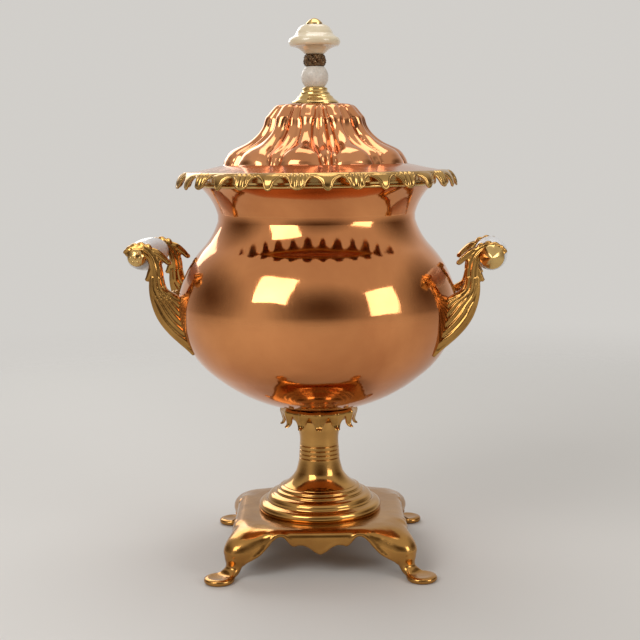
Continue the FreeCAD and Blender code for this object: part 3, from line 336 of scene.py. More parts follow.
def pits(tree, place):
    # grain of cast or rough metal
    return addNode(tree, "TexNoise", {"Vector": place, "Scale": 700.0, "Detail": 4.0}).outputs["Fac"]


def polishedMetal(name, finish):
    # colour drifts in soft clouds, grooves hold tarnish, and gloss varies with handling
    material, tree, shader, place = newMaterial(name)
    cloud = addNode(tree, "TexNoise", {"Vector": place, "Scale": finish["cloudScale"], "Detail": 6.0,
                                       "Roughness": 0.6, "Distortion": 0.4}).outputs["Fac"]
    colour = blendRamp(tree, cloud, [(0.3, finish["shade"]), (0.68, finish["tint"])])
    if "grime" in finish:
        amount, low, high, dirt = finish["grime"]
        edge = addNode(tree, "NewGeometry").outputs["Pointiness"]
        colour = mixColour(tree, valueRange(tree, edge, low, high, amount, 0.0), colour, dirt)
    tree.links.new(colour, shader.inputs["Base Color"])
    shader.inputs["Metallic"].default_value = 1.0
    smear = addNode(tree, "TexNoise", {"Vector": place, "Scale": finish["smearScale"], "Detail": 8.0,
                                       "Roughness": 0.7}).outputs["Fac"]
    roughness = valueRange(tree, smear, 0.35, 0.7, finish["roughLow"], finish["roughHigh"])
    tree.links.new(roughness, shader.inputs["Roughness"])
    wave = addNode(tree, "TexNoise", {"Vector": place, "Scale": finish["waveScale"], "Detail": 2.0})
    normal = addBump(tree, wave.outputs["Fac"], finish["waveDepth"])
    for key, texture in (("lathe", turningLines), ("drawn", drawnLines), ("grain", pits)):
        if key in finish:
            normal = addBump(tree, texture(tree, place), finish[key], normal)
    tree.links.new(normal, shader.inputs["Normal"])
    return material


# each metal's values in the order of metalKeys, then what only some have: grime as amount, curvature where
# it starts and ends, colour; and the depth in millimetres of lathe lines, drawn streaks or grain
metalKeys = ("tint", "shade", "cloudScale", "smearScale", "roughLow", "roughHigh", "waveScale", "waveDepth")
metals = {
    "bodyCopper": ((0.8, 0.335, 0.125), (0.58, 0.215, 0.078), 9.0, 30.0, 0.045, 0.13, 16.0, 1.1,
        {"drawn": 0.03}),
    "lidCopper": ((0.81, 0.355, 0.155), (0.58, 0.225, 0.092), 14.0, 45.0, 0.08, 0.18, 28.0, 0.5,
        {"grime": (0.85, 0.43, 0.497, (0.16, 0.055, 0.022))}),
    "sleeveCopper": ((0.66, 0.33, 0.19), (0.46, 0.22, 0.12), 20.0, 60.0, 0.3, 0.5, 30.0, 0.3,
        {"grain": 0.02}),
    "footBrass": ((0.54, 0.28, 0.078), (0.35, 0.16, 0.04), 16.0, 60.0, 0.12, 0.26, 40.0, 0.5,
        {"grime": (0.8, 0.42, 0.49, (0.07, 0.03, 0.01)), "grain": 0.012}),
    "stemBrass": ((0.62, 0.34, 0.1), (0.43, 0.215, 0.06), 18.0, 60.0, 0.08, 0.18, 30.0, 0.12,
        {"grime": (0.7, 0.42, 0.49, (0.08, 0.035, 0.012)), "lathe": 0.008}),
    "handleBrass": ((0.6, 0.335, 0.095), (0.37, 0.185, 0.048), 22.0, 80.0, 0.12, 0.26, 60.0, 0.2,
        {"grime": (0.9, 0.4, 0.5, (0.06, 0.027, 0.009)), "grain": 0.012}),
    "fringeBrass": ((0.62, 0.38, 0.13), (0.38, 0.21, 0.062), 24.0, 90.0, 0.12, 0.28, 70.0, 0.15,
        {"grime": (0.9, 0.4, 0.5, (0.05, 0.027, 0.01)), "grain": 0.012}),
    "brightBrass": ((0.78, 0.54, 0.215), (0.58, 0.355, 0.12), 30.0, 90.0, 0.1, 0.2, 50.0, 0.08,
        {"lathe": 0.006}),
    "dullBrass": ((0.58, 0.4, 0.18), (0.38, 0.24, 0.1), 40.0, 120.0, 0.25, 0.45, 60.0, 0.05,
        {"grain": 0.02}),
    "darkLeaf": ((0.22, 0.135, 0.07), (0.028, 0.02, 0.015), 110.0, 160.0, 0.25, 0.5, 150.0, 0.2,
        {"grain": 0.03}),
    "rodSteel": ((0.42, 0.41, 0.4), (0.27, 0.26, 0.25), 60.0, 120.0, 0.3, 0.5, 60.0, 0.03,
        {"lathe": 0.01}),
    "coreIron": ((0.11, 0.105, 0.1), (0.05, 0.045, 0.045), 60.0, 120.0, 0.5, 0.75, 200.0, 0.15,
        {"grain": 0.05}),
}
paint = {name: polishedMetal(name, {**dict(zip(metalKeys, row)), **row[len(metalKeys)]})
         for name, row in metals.items()}


def glazedChina(name, glaze):
    # glaze with a faint unevenness; specks sit under it
    material, tree, shader, place = newMaterial(name)
    cloud = addNode(tree, "TexNoise", {"Vector": place, "Scale": glaze["cloudScale"], "Detail": 4.0})
    colour = blendRamp(tree, cloud.outputs["Fac"], [(0.3, glaze["shade"]), (0.7, glaze["tint"])])
    speck = addNode(tree, "TexNoise", {"Vector": place, "Scale": glaze["speckScale"], "Detail": 5.0,
                                       "Roughness": 0.75}).outputs["Fac"]
    amount = valueRange(tree, speck, glaze["speckFrom"], glaze["speckTo"], 0.0, glaze["speckAmount"])
    colour = mixColour(tree, amount, colour, glaze["speckColour"])
    tree.links.new(colour, shader.inputs["Base Color"])
    shader.inputs["Roughness"].default_value = glaze["rough"]
    shader.inputs["Coat Weight"].default_value = glaze["coat"]
    shader.inputs["Coat Roughness"].default_value = 0.05
    tree.links.new(addBump(tree, cloud.outputs["Fac"], 0.15), shader.inputs["Normal"])
    return material


glazeKeys = ("tint", "shade", "cloudScale", "speckScale", "speckFrom", "speckTo", "speckAmount",
             "speckColour", "rough", "coat")
glazes = {
    "whiteChina": ((0.8, 0.8, 0.8), (0.7, 0.7, 0.71), 60.0, 500.0, 0.68, 0.8, 0.4, (0.45, 0.42, 0.38),
        0.22, 0.6),
    "ivoryChina": ((0.84, 0.72, 0.51), (0.74, 0.59, 0.38), 45.0, 420.0, 0.66, 0.8, 0.35,
        (0.45, 0.33, 0.18), 0.2, 0.7),
    "speckledStone": ((0.82, 0.755, 0.665), (0.66, 0.595, 0.51), 160.0, 620.0, 0.5, 0.66, 0.5,
        (0.4, 0.36, 0.32), 0.4, 0.15),
    "redFibre": ((0.26, 0.07, 0.035), (0.16, 0.04, 0.02), 200.0, 500.0, 0.5, 0.7, 0.3,
        (0.08, 0.02, 0.01), 0.7, 0.0),
}
paint.update({name: glazedChina(name, dict(zip(glazeKeys, row))) for name, row in glazes.items()})
print("materials ready:", len(paint))

# camera first: the photograph's place, a little above the lid's brim, leaning with the urn
camera = {"place": (2.0, -1071.6, 352.8), "down": 7.63, "roll": -0.66, "lens": 68.9}
lens = bpy.data.cameras.new("photoCamera")
lens.lens = camera["lens"]
lens.sensor_width = 36.0
photoCamera = addObject("photoCamera", lens)
photoCamera.location = Vector(camera["place"]) * mm
tilt = Matrix.Rotation(math.radians(90 - camera["down"]), 3, "X")
aim = tilt @ Matrix.Rotation(math.radians(camera["roll"]), 3, "Z")
photoCamera.rotation_euler = aim.to_euler()
bpy.context.scene.camera = photoCamera

# vessel: spun copper bowl with a soft crease at its waist and a flared neck
vessel = {
    "outside": [(24.0, 132.0), (93.2, 164.4, 142.0), (122.5, 225.2, 76.9), (99.4, 274.6, 85.4),
                (85.9, 298.0, -57.8), (85.9, 303.0), (100.5, 327.0, -46.3)],
    "rimRing": 101.1, "rimMiddle": 328.6, "rimWire": 1.4,
}
outside = cornerLine(vessel["outside"], 30)
inside = offsetLine(outside, urn["wall"])
bowlLine = np.concatenate([[[0.0, urn["floor"]]], outside, inside[::-1], [[0.0, urn["floor"] + urn["wall"]]]])
addPiece("copperBowl", [gridPart(spin(bowlLine, 256))], paint["bodyCopper"], "vessel",
         ["vessel_bottom", "vessel_belly", "vessel_neck"], 50)
turn = fullTurn(20)
wireLine = np.stack([vessel["rimRing"] + vessel["rimWire"] * np.cos(turn),
                     vessel["rimMiddle"] + vessel["rimWire"] * np.sin(turn)], -1)
addPiece("mouthWire", [ringPart(wireLine, 200)], paint["brightBrass"], "vessel",
         ["mouth_rim"])
print("vessel made")

# lid: ten rounded lobes with narrow folds between them, on a smooth sloping flange
lid = {
    "crest": [(2.1, 397.5), (20.0, 397.4), (29.0, 396.9), (34.5, 395.4), (40.6, 388.6), (43.2, 385.2),
              (45.4, 378.4), (50.2, 371.6), (58.9, 364.7), (72.8, 357.9), (78.5, 351.0), (80.5, 345.9)],
    "flange": [(80.9, 345.6), (84.0, 344.9), (95.0, 342.4), (105.0, 340.5), (111.0, 339.5)],
    "lobes": 10, "firstLobe": math.radians(-100.0), "wall": 1.5,
    # share of the way down the crest, depth of the valleys, half width of a lobe
    "depth": [(0.0, 0.0), (0.10, 0.0), (0.18, 1.5), (0.27, 2.8), (0.36, 3.8), (0.45, 4.5), (0.55, 4.8),
              (0.64, 4.9), (0.73, 5.0), (0.82, 5.6), (0.91, 6.4), (1.0, 5.6)],
    "halfWidth": [(0.0, 0.28), (0.27, 0.30), (0.40, 0.27), (0.55, 0.20), (0.68, 0.22), (0.84, 0.34),
                  (1.0, 0.38)],
    "bulgePower": 0.55, "foldHeight": 0.3, "foldFrom": 0.3, "columns": 480,
}


def lidSkin():
    # surface = crest - normal * depth * (1 - lobes), where lobes rises as a round bulge across each lobe
    # and between two lobes as one low fold with a valley on each side
    crest = flowLine(lid["crest"], 80)
    share = np.linspace(0, 1, len(crest))
    depth = np.interp(share, *flowLine(lid["depth"], 200).T)[:, None]
    half = np.interp(share, *flowLine(lid["halfWidth"], 200).T)[:, None]
    angle = fullTurn(lid["columns"])
    phase = (angle - lid["firstLobe"]) / (2 * math.pi) * lid["lobes"]
    across = np.abs(phase - np.round(phase))[None]
    bulge = np.clip(1 - (across / half) ** 2, 0, 1) ** lid["bulgePower"]
    gap = np.clip((across - half) / (0.5 - half), 0, 1)
    fold = np.clip((gap - lid["foldFrom"]) / (1 - lid["foldFrom"]), 0, 1)
    lobes = np.where(across < half, bulge, lid["foldHeight"] * (1 - np.cos(math.pi * fold)))
    way = unitWay(crest)
    sunk = depth * (1 - lobes)
    radius = crest[:, :1] + way[:, 1:] * sunk
    dome = polar(radius, angle, crest[:, 1:] - way[:, :1] * sunk)
    flange = spin(flowLine(lid["flange"], 12), lid["columns"])
    return np.concatenate([dome, flange])


lidPiece = addPiece("copperLid", [gridPart(lidSkin())], paint["lidCopper"], "lid", ["lid_shell"],
                    60)
lidWall = lidPiece.modifiers.new("wall", "SOLIDIFY")
lidWall.thickness = lid["wall"] * mm
lidWall.offset = -1.0
print("lid made")

# fringe: a rolled band and 32 hanging teeth, plain points and ribbed curling leaves in turn
fringe = {
    "teeth": 32, "firstPoint": math.radians(4.4 - 90), "pointLength": 16.0, "leafLength": 15.4,
    "archLength": 4.4, "thick": 1.8, "edge": 1.05, "swell": 0.7, "ribs": 5, "ribHeight": 0.6,
    # share of a tooth's width that its rounded sides take, on leaves and on points
    "leafArch": 0.28, "pointArch": 0.37, "curlFrom": 0.55, "curl": 4.0,
    "fall": [(111.5, 338.6), (115.5, 337.2), (118.0, 334.4), (119.6, 331.2), (120.4, 328.0), (120.5, 325.0)],
    "band": [(111.1, 337.9), (111.1, 339.5), (112.0, 340.0), (113.8, 339.9), (115.4, 338.9), (116.1, 337.6),
             (115.3, 336.5), (113.2, 336.4), (110.9, 337.0)],
}


def fringeSkin():
    # each tooth hangs down the fall line; its length follows a round arch between two tips,
    # and its face swells in the middle and along its ribs
    columns = fringe["teeth"] * 36
    angle = fullTurn(columns)
    phase = (angle - fringe["firstPoint"]) / (2 * math.pi) * fringe["teeth"]
    nearest = np.round(phase)
    across = phase - nearest
    leafy = (nearest % 2)[None]
    arch = np.where(leafy[0] > 0, fringe["leafArch"], fringe["pointArch"])
    reach = np.clip((0.5 - np.abs(across)) / arch, 0, 1)[None]
    tip = np.clip(np.abs(across) / (0.5 - arch), 0, 1)[None]
    shape = (0.3 * reach ** 1.5 + 0.7 * (1 - np.sqrt(1 - reach ** 2))) * (1 - 0.2 * tip ** 2)
    longest = np.where(leafy > 0, fringe["leafLength"], fringe["pointLength"])
    length = fringe["archLength"] + (longest - fringe["archLength"]) * shape
    down, along, place = hangingLine(fringe["fall"], 60, 22, length)
    bent = np.clip(along / fringe["leafLength"] - fringe["curlFrom"], 0, 1)
    place[0] = place[0] + leafy * bent ** 2 * fringe["curl"]
    ribs = (leafy * fringe["ribHeight"] * np.cos(across * 2 * math.pi * fringe["ribs"])
            * np.clip(reach * 2, 0, 1))
    swell = fringe["swell"] * reach ** 0.7
    half = fringe["thick"] / 2 * np.sqrt(1 - down ** 5) + 0 * length
    face = half + (swell + ribs) * np.sqrt(1 - down ** 4) * np.clip(down * 6, 0.3, 1)
    front, back = hangingFaces(place, angle, face, half)
    edge = (front[-1] + back[-1]) / 2
    return [gridPart(np.concatenate([front, back[::-1][1:]]), closeRows=True), ringTube(edge, fringe["edge"])]


addPiece("brassFringe", fringeSkin() + [ringPart(flowLine(fringe["band"], 32), 300)],
         paint["fringeBrass"], "lid", ["lid_fringe"], 60)
print("fringe made")

# finial: stepped brass seat, speckled ball, dark leaf band, ivory knob and domed nut on one rod
finial = {
    "seat": [(2.1, 397.6), (20.4, 397.6), (20.4, 398.4), (19.6, 399.4), (18.6, 400.2), (15.8, 402.4, -9.0),
             (15.0, 403.8), (13.6, 404.4), (12.9, 405.6), (12.7, 406.6), (10.9, 408.2, -3.0), (10.6, 409.0),
             (10.4, 410.8, 1.4), (8.6, 411.6), (2.1, 411.6)],
    "ball": (8.0, 411.6, 11.7, 420.15, 8.0, 428.7),
    "knob": [(2.1, 439.2), (7.6, 439.2), (8.8, 439.8), (20.4, 446.1, -18.0), (22.2, 449.6, 4.5),
             (20.6, 453.0, 5.0), (16.0, 456.6, -12.0), (14.2, 460.2, 12.0), (9.8, 463.8, 7.0), (8.0, 464.2),
             (2.1, 464.2)],
    "nut": [(2.1, 464.2), (7.0, 464.2), (7.0, 465.4), (6.4, 466.0), (0.0, 469.7, 9.5), (0.0, 468.0),
            (2.1, 467.9)],
    "band": {"low": 428.7, "high": 439.2, "radius": 8.0, "waist": 1.2, "ridge": 1.7, "strands": 8,
             "twist": 1.5},
    "boreShare": 0.26,
}
addPiece("finialSeat", [ringPart(cornerLine(finial["seat"], 9), 128)],
         paint["brightBrass"], "lid", ["finial_seat"])
lowFlat, lowEnd, ballRadius, ballMiddle, highFlat, highEnd = finial["ball"]
ballLine = cornerLine([(2.1, lowEnd), (lowFlat, lowEnd), (ballRadius, ballMiddle, ballRadius),
                       (highFlat, highEnd, ballRadius), (2.1, highEnd)], 24)
addPiece("finialBall", [ringPart(ballLine, 96)], paint["speckledStone"], "lid",
         ["finial_ball"])
addPiece("finialKnob", [ringPart(cornerLine(finial["knob"], 12), 160)],
         paint["ivoryChina"], "lid", ["finial_knob"])
addPiece("finialNut", [ringPart(cornerLine(finial["nut"], 14), 96)],
         paint["brightBrass"], "lid", ["finial_cap_nut"])


def twistedBand():
    # radius = base + ridge * strand, where slanted strands wind up the band and their edges are ragged
    band = finial["band"]
    angle = fullTurn(220)[None]
    up = np.linspace(0, 1, 60)[:, None]
    strand = np.abs(np.sin(band["strands"] / 2 * angle + band["twist"] * math.pi * up))
    ragged = 0.25 * np.sin(23 * angle + 9 * up) + 0.2 * np.sin(13 * angle - 31 * up)
    belly = np.sin(math.pi * up) ** 0.4
    radius = (band["radius"] - band["waist"] + band["waist"] * belly
              + band["ridge"] * strand ** 0.6 * belly + ragged * belly)
    skin = polar(radius, angle, band["low"] + (band["high"] - band["low"]) * up)
    toBore = np.array([finial["boreShare"], finial["boreShare"], 1])
    return np.concatenate([skin[:1] * toBore, skin, skin[-1:] * toBore])


addPiece("finialBand", [gridPart(twistedBand(), closeRows=True)], paint["darkLeaf"], "lid",
         ["finial_band"], 70)
print("finial made")

# stem: hollow turned column with scored rings, a flared skirt and one broad bottom ring
stem = {
    "outside": [(38.0, 40.0), (53.2, 40.0), (54.5, 42.0, 2.6), (54.0, 45.4, 6.0), (50.6, 47.7, 4.4),
                (47.6, 48.3), (46.8, 49.8, -2.0), (45.8, 52.6, 3.6), (42.4, 54.9, 4.6), (40.0, 55.3),
                (39.3, 56.2, -1.4), (38.2, 57.9, 1.8), (36.6, 58.4), (36.1, 59.2, -1.2), (34.9, 60.8, 1.7),
                (33.4, 61.2), (32.4, 62.0, -1.6), (26.6, 66.2, -22.0), (21.0, 73.6, -30.0),
                (18.9, 81.2, -60.0), (18.3, 83.8)],
    "neck": [(17.2, 100.5), (17.2, 104.0, 140.0), (18.2, 111.0, -60.0), (19.0, 118.0, 40.0), (19.0, 127.0),
             (13.0, 127.0), (13.0, 66.0), (38.0, 46.0)],
    "scores": (86.5, 90.2, 94.0, 97.8), "scoreDepth": 0.75, "scoreHalf": 0.6, "scoreFloor": 0.15,
}


def stemLine():
    # the scores are cut into the straight taper between the outside's last point and the neck's first
    (lowRadius, low), (highRadius, high) = stem["outside"][-1], stem["neck"][0]
    scored = []
    for level in stem["scores"]:
        width = np.interp(level, [low, high], [lowRadius, highRadius])
        deep = width - stem["scoreDepth"]
        scored += [(width, level - stem["scoreHalf"]), (deep, level - stem["scoreFloor"]),
                   (deep, level + stem["scoreFloor"]), (width, level + stem["scoreHalf"])]
    return cornerLine(stem["outside"] + scored + stem["neck"], 10)


stemPiece = addPiece("brassStem", [ringPart(stemLine(), 200)], paint["stemBrass"], "vessel",
                     ["stem"], 30)
softenEdges(stemPiece, width=0.25)

# collar: a cup under the bowl with twelve hanging leaves whose points curl outwards
collar = {
    "cup": [(13.0, 127.0), (19.1, 127.0), (19.1, 121.0), (23.5, 121.2), (28.5, 124.0, 9.0),
            (31.6, 129.0, 12.0), (31.8, 131.0, 2.0), (30.5, 131.9), (13.0, 131.9)],
    "fall": [(30.6, 131.6), (32.2, 129.4), (31.0, 124.6), (30.2, 120.6), (31.6, 117.6), (34.4, 116.4)],
    "leaves": 12, "leafLength": 18.6, "notchLength": 5.0, "thick": 1.7, "vein": 0.7, "swell": 0.8,
}


def collarLeaves():
    # each leaf hangs down the fall line to a point; a raised vein runs down its middle
    angle = fullTurn(collar["leaves"] * 40)
    phase = angle / (2 * math.pi) * collar["leaves"]
    across = np.abs(phase - np.round(phase))[None]
    reach = np.clip((0.5 - across) / 0.47, 0, 1)
    pointed = (1 - (1 - reach) ** 1.5) ** 1.4
    length = collar["notchLength"] + (collar["leafLength"] - collar["notchLength"]) * pointed
    down, along, place = hangingLine(collar["fall"], 50, 26, length)
    half = collar["thick"] / 2 * np.sqrt(1 - down ** 5) + 0 * length
    raised = collar["vein"] * np.exp(-(across / 0.05) ** 2) + collar["swell"] * np.cos(across * math.pi) ** 2
    front, back = hangingFaces(place, angle, half + raised * np.sqrt(1 - down ** 4), half)
    return np.concatenate([front, back[::-1][1:]])


cupPart = ringPart(cornerLine(collar["cup"], 10), 120)
addPiece("leafCollar", [cupPart, gridPart(collarLeaves(), closeRows=True)],
         paint["handleBrass"], "vessel", ["stem_collar"], 60)
print("stem and collar made")

# foot: one casting, a low square plate that folds down into scalloped aprons, bowed legs and round toes
foot = {
    "half": 75.0, "top": 40.3, "under": 36.6, "wall": 3.0, "roll": 2.1, "rollRise": 0.6,
    # degrees from a diagonal where the knee ends, and over which it turns into the apron
    "kneeEnd": 17, "kneeBlend": 14,
    # degrees from a diagonal, reach of the rim there
    "knee": [(0.0, 110.5), (3.0, 109.5), (6.0, 105.5), (9.0, 99.0), (12.0, 92.0), (15.0, 87.5), (17.0, 85.2)],
    # height, distance inside the rim: on a knee and on an apron
    "kneeFall": [(10.0, 7.4), (12.0, 6.5), (15.0, 3.5), (19.0, 0.8), (22.0, 0.0), (25.0, 0.8), (28.0, 2.5),
                 (31.5, 6.0), (34.0, 9.5), (36.5, 15.0), (38.0, 19.0), (39.5, 26.0), (40.3, 36.0)],
    "apronFall": [(10.0, 1.0), (19.0, 1.0), (22.0, 0.9), (28.0, 0.3), (33.0, 0.0), (36.0, 0.6), (38.0, 2.2),
                  (39.4, 5.0), (40.0, 8.0), (40.3, 13.0)],
    # distance along a side from its middle, height of the lower edge
    "edge": [(0.0, 20.0), (4.0, 22.2), (9.0, 26.0), (14.0, 28.4), (19.0, 28.6), (23.0, 27.6), (26.0, 30.5),
             (29.5, 34.6), (34.0, 36.0), (38.5, 34.8), (43.0, 30.5), (47.0, 25.4), (51.0, 20.6), (56.0, 17.2),
             (61.0, 14.5), (65.0, 12.0), (75.0, 11.0)],
    # along the diagonal: reach, height, half width across, half depth
    "leg": [(88.0, 31.0, 10.0, 5.0), (95.0, 27.0, 12.0, 8.0), (99.0, 22.0, 12.0, 9.5),
            (101.5, 17.0, 10.5, 9.0), (103.0, 11.5, 7.6, 7.2), (105.5, 7.0, 7.6, 5.2),
            (111.0, 4.2, 9.0, 3.6)],
    "toeReach": 119.8,
    "toe": [(0.0, 0.0), (11.4, 0.0), (13.0, 2.0, 2.4), (12.2, 4.6, 2.4), (9.0, 5.2, 6.0), (0.0, 4.6, -40.0)],
}


def footSkin():
    # each column falls from the plate's top to the lower edge; its distance inside the rim is a blend
    # of the knee's fall near a diagonal and the apron's fall along a side
    angle = fullTurn(720)
    fromSide = np.abs((np.degrees(angle) + 45) % 90 - 45)
    fromCorner = 45 - fromSide
    rim = np.where(fromCorner > foot["kneeEnd"], foot["half"] / np.cos(np.radians(fromSide)),
                   np.interp(fromCorner, *flowLine(foot["knee"], 100).T))
    share = np.clip((foot["kneeEnd"] - fromCorner) / foot["kneeBlend"], 0, 1)
    share = share * share * (3 - 2 * share)
    edge = np.interp(foot["half"] * np.tan(np.radians(fromSide)), *flowLine(foot["edge"], 240).T)
    down = np.linspace(0, 1, 34)[:, None]
    height = foot["top"] - (foot["top"] - edge) * down ** 1.6
    inside = (share * np.interp(height, *flowLine(foot["kneeFall"], 200).T)
              + (1 - share) * np.interp(height, *flowLine(foot["apronFall"], 200).T))
    reach = rim - inside
    innerReach = reach - foot["wall"]
    innerHeight = np.minimum(height, foot["under"])
    middle, ends = 0 * reach[:1], np.ones_like(reach[:2])
    allReach = np.concatenate([middle, reach[:1] / 2, reach, innerReach[::-1], innerReach[:1] / 2, middle])
    allHeight = np.concatenate([foot["top"] * ends, height, innerHeight[::-1], foot["under"] * ends])
    rollPath = polar(reach[-1] - foot["wall"] / 2, angle, height[-1] + foot["rollRise"])
    return [gridPart(polar(allReach, angle, allHeight)), ringTube(rollPath, foot["roll"], 14)]


def footParts():
    leg = flowLine(foot["leg"], 60)
    path = np.stack([leg[:, 0] * math.sqrt(0.5), -leg[:, 0] * math.sqrt(0.5), leg[:, 1]], -1)
    limb = carried(path, leg[:, 2], leg[:, 3], (math.sqrt(0.5), math.sqrt(0.5), 0), 56)
    toe = spin(cornerLine(foot["toe"], 8), 64)
    toePlace = foot["toeReach"] * math.sqrt(0.5)
    toe = gridPart(toe + np.array([toePlace, -toePlace, 0]))
    parts = footSkin()
    for quarter in range(4):
        for points, quads in (limb, toe):
            parts.append((turnAboutZ(points, quarter * math.pi / 2), quads))
    return parts


footPiece = addPiece("brassFoot", footParts(), paint["footBrass"], "vessel", ["base_casting"],
                     180)
castTogether(footPiece, voxel=1.1, rounds=4)
print("foot made")

# handles: each casting has a broad ribbed shield on the bowl, two scrolled arms, leaves and grip eyes
handle = {
    "gripReach": 151.0, "gripHeight": 268.2, "armSpread": 37.0,
    # height, reach of the outer face, half width of the shield
    "shield": [(184.5, 102.0, 38.0), (188.0, 107.0, 41.0), (193.0, 112.0, 43.0), (199.0, 117.0, 44.0),
               (209.0, 125.6, 44.0), (219.0, 132.2, 43.5), (227.0, 135.4, 42.5), (231.0, 135.6, 41.5),
               (233.0, 130.0, 39.0)],
    # how far the casting reaches into the bowl's wall, the flutes' spacing, depth and rise at the top edge
    "sink": 0.8, "fluteWidth": 8.6, "fluteFloor": 1.5, "fluteDepth": 1.9, "fluteRise": 1.6,
    "riseFrom": 227.0, "riseOver": 6.0,
    # outwards, height: the low arm's two edges from its tip upwards
    "innerEdge": [(100.0, 186.0), (101.0, 193.0), (104.0, 201.0), (107.0, 209.0), (109.0, 217.0),
                  (110.5, 225.0), (112.5, 232.0), (119.0, 236.8), (126.0, 241.5), (128.8, 251.0)],
    "outerEdge": [(103.5, 183.5), (108.5, 188.5), (116.0, 194.8), (123.6, 201.6), (130.4, 209.2),
                  (135.4, 217.0), (138.8, 225.6), (140.9, 234.0), (141.6, 242.0), (141.0, 251.0)],
    "tipSpread": 42.5, "fanRibs": 8, "armRibs": 4, "ribDepth": 0.14,
    # shares of the low arm's length, from its tip: how far the fan reaches, and where strands take over
    "fanUntil": 0.86, "blendFrom": 0.72, "blendOver": 0.2,
    "halfDepth": [(0.0, 1.9), (0.1, 4.2), (0.3, 5.3), (0.75, 5.0), (1.0, 4.6)],
    # outwards, height, half depth, half thickness
    "arm": [(134.8, 240.0, 5.9, 4.7), (134.8, 247.0, 5.8, 4.6), (134.8, 257.0, 5.4, 4.6),
            (137.5, 267.0, 5.0, 4.5), (144.0, 274.2, 4.4, 4.4), (152.0, 275.2, 3.7, 4.1),
            (157.6, 272.6, 2.9, 3.5), (161.0, 269.6, 2.0, 2.8)],
    "innerLeaf": [(140.5, 274.0, 3.0, 3.4), (133.6, 271.4, 3.2, 3.4), (127.4, 266.6, 2.7, 3.0),
                  (124.0, 263.2, 2.1, 2.4), (121.6, 263.6, 1.4, 1.8)],
    "outerLeaf": [(137.0, 262.0, 3.2, 3.4), (139.6, 255.4, 3.0, 3.2), (142.0, 250.4, 2.4, 2.6),
                  (144.4, 247.8, 1.5, 1.8)],
    # radius, distance from the eye's middle along the grip's axis
    "eye": [(0.0, -4.6), (7.4, -4.6), (8.0, -4.0), (8.0, 4.0), (7.4, 4.6), (0.0, 4.6)],
}
# leaves on the arm's back: places along its spine of 200 points, how deep the root sits,
# then the distance along and out from the root of the middle and the tip
crestLeaf = {
    "spine": 200, "places": (70, 86, 102, 118, 134, 150, 164), "root": 1.6, "middle": (3.8, 1.6),
    "tip": (6.6, 0.6), "wide": 3.7, "thick": 1.8,
}


def bowlRadius(height):
    return np.interp(height, outside[:, 1], outside[:, 0])


def offBowl(part):
    # points inside the bowl's wall move out to its middle
    points, quads = part
    reach = np.hypot(points[:, 0], points[:, 1])
    push = np.maximum(1.0, (bowlRadius(points[:, 2]) - handle["sink"]) / np.maximum(reach, 1.0))
    return points * np.stack([push, push, np.ones_like(push)], -1), quads


def shieldPart():
    # level sections: the inner side follows the bowl, the outer side is a squared bulge with flutes
    # whose tops stand up as scallops
    rows = flowLine(handle["shield"], 70)
    height, reach, half = rows[:, 0, None], rows[:, 1, None], rows[:, 2, None]
    angle = np.linspace(-math.pi / 2, math.pi / 2, 170)[None]
    across = half * np.sign(np.sin(angle)) * np.abs(np.sin(angle)) ** 0.8
    rise = np.abs(np.cos(angle)) ** 0.4
    flutes = np.abs(np.cos(across * math.pi / handle["fluteWidth"]))
    root = np.sqrt(bowlRadius(height) ** 2 - across ** 2) - handle["sink"]
    crown = reach - handle["fluteFloor"] + handle["fluteDepth"] * flutes
    scallop = handle["fluteRise"] * np.clip((height - handle["riseFrom"]) / handle["riseOver"], 0, 1)
    outer = np.stack([root + (crown - root) * rise, across, height + scallop * flutes], -1)
    back = np.linspace(1, -1, 60)[None] * half
    inner = [np.sqrt(bowlRadius(height) ** 2 - back ** 2) - handle["sink"], back, height + 0 * back]
    return capped(np.concatenate([outer, np.stack(inner, -1)], 1))


def ribbonPart(sign):
    # flat limb between two edge lines; ribs run down the arm and turn in to the bowl:
    # rib place = start + (1 - start) * share, where start grows from 0 on the arm to 1 at the tip
    rows = 130
    innerEdge = flowLine(handle["innerEdge"], rows)[:, None]
    outerEdge = flowLine(handle["outerEdge"], rows)[:, None]
    along = np.linspace(0, 1, rows)[:, None]
    angle = fullTurn(120)[None]
    share = (1 - np.cos(angle)) / 2
    start = np.clip(1 - along / handle["fanUntil"], 0, 1)
    fan = np.cos(2 * math.pi * handle["fanRibs"] * (start + (1 - start) * share))
    strands = np.cos(2 * math.pi * handle["armRibs"] * share)
    blend = np.clip((along - handle["blendFrom"]) / handle["blendOver"], 0, 1)
    ripple = fan * (1 - blend) + strands * blend
    half = np.interp(along, *np.transpose(handle["halfDepth"]))
    across = half * np.sign(np.sin(angle)) * np.abs(np.sin(angle)) ** 0.6 * (1 + handle["ribDepth"] * ripple)
    spread = [handle["tipSpread"], handle["armSpread"] + 0.5, handle["armSpread"]]
    middle = sign * np.interp(along, [0, 0.85, 1], spread)
    flat = innerEdge + (outerEdge - innerEdge) * share[..., None]
    return capped(np.stack([flat[..., 0], middle + across, flat[..., 1]], -1))


def limbPart(rows, y, ribs):
    line = flowLine(rows, 16 * len(rows))
    path = np.stack([line[:, 0], np.full(len(line), y), line[:, 1]], -1)
    return carried(path, line[:, 3], line[:, 2], (0, 1, 0), 72, ribs, 0.10)


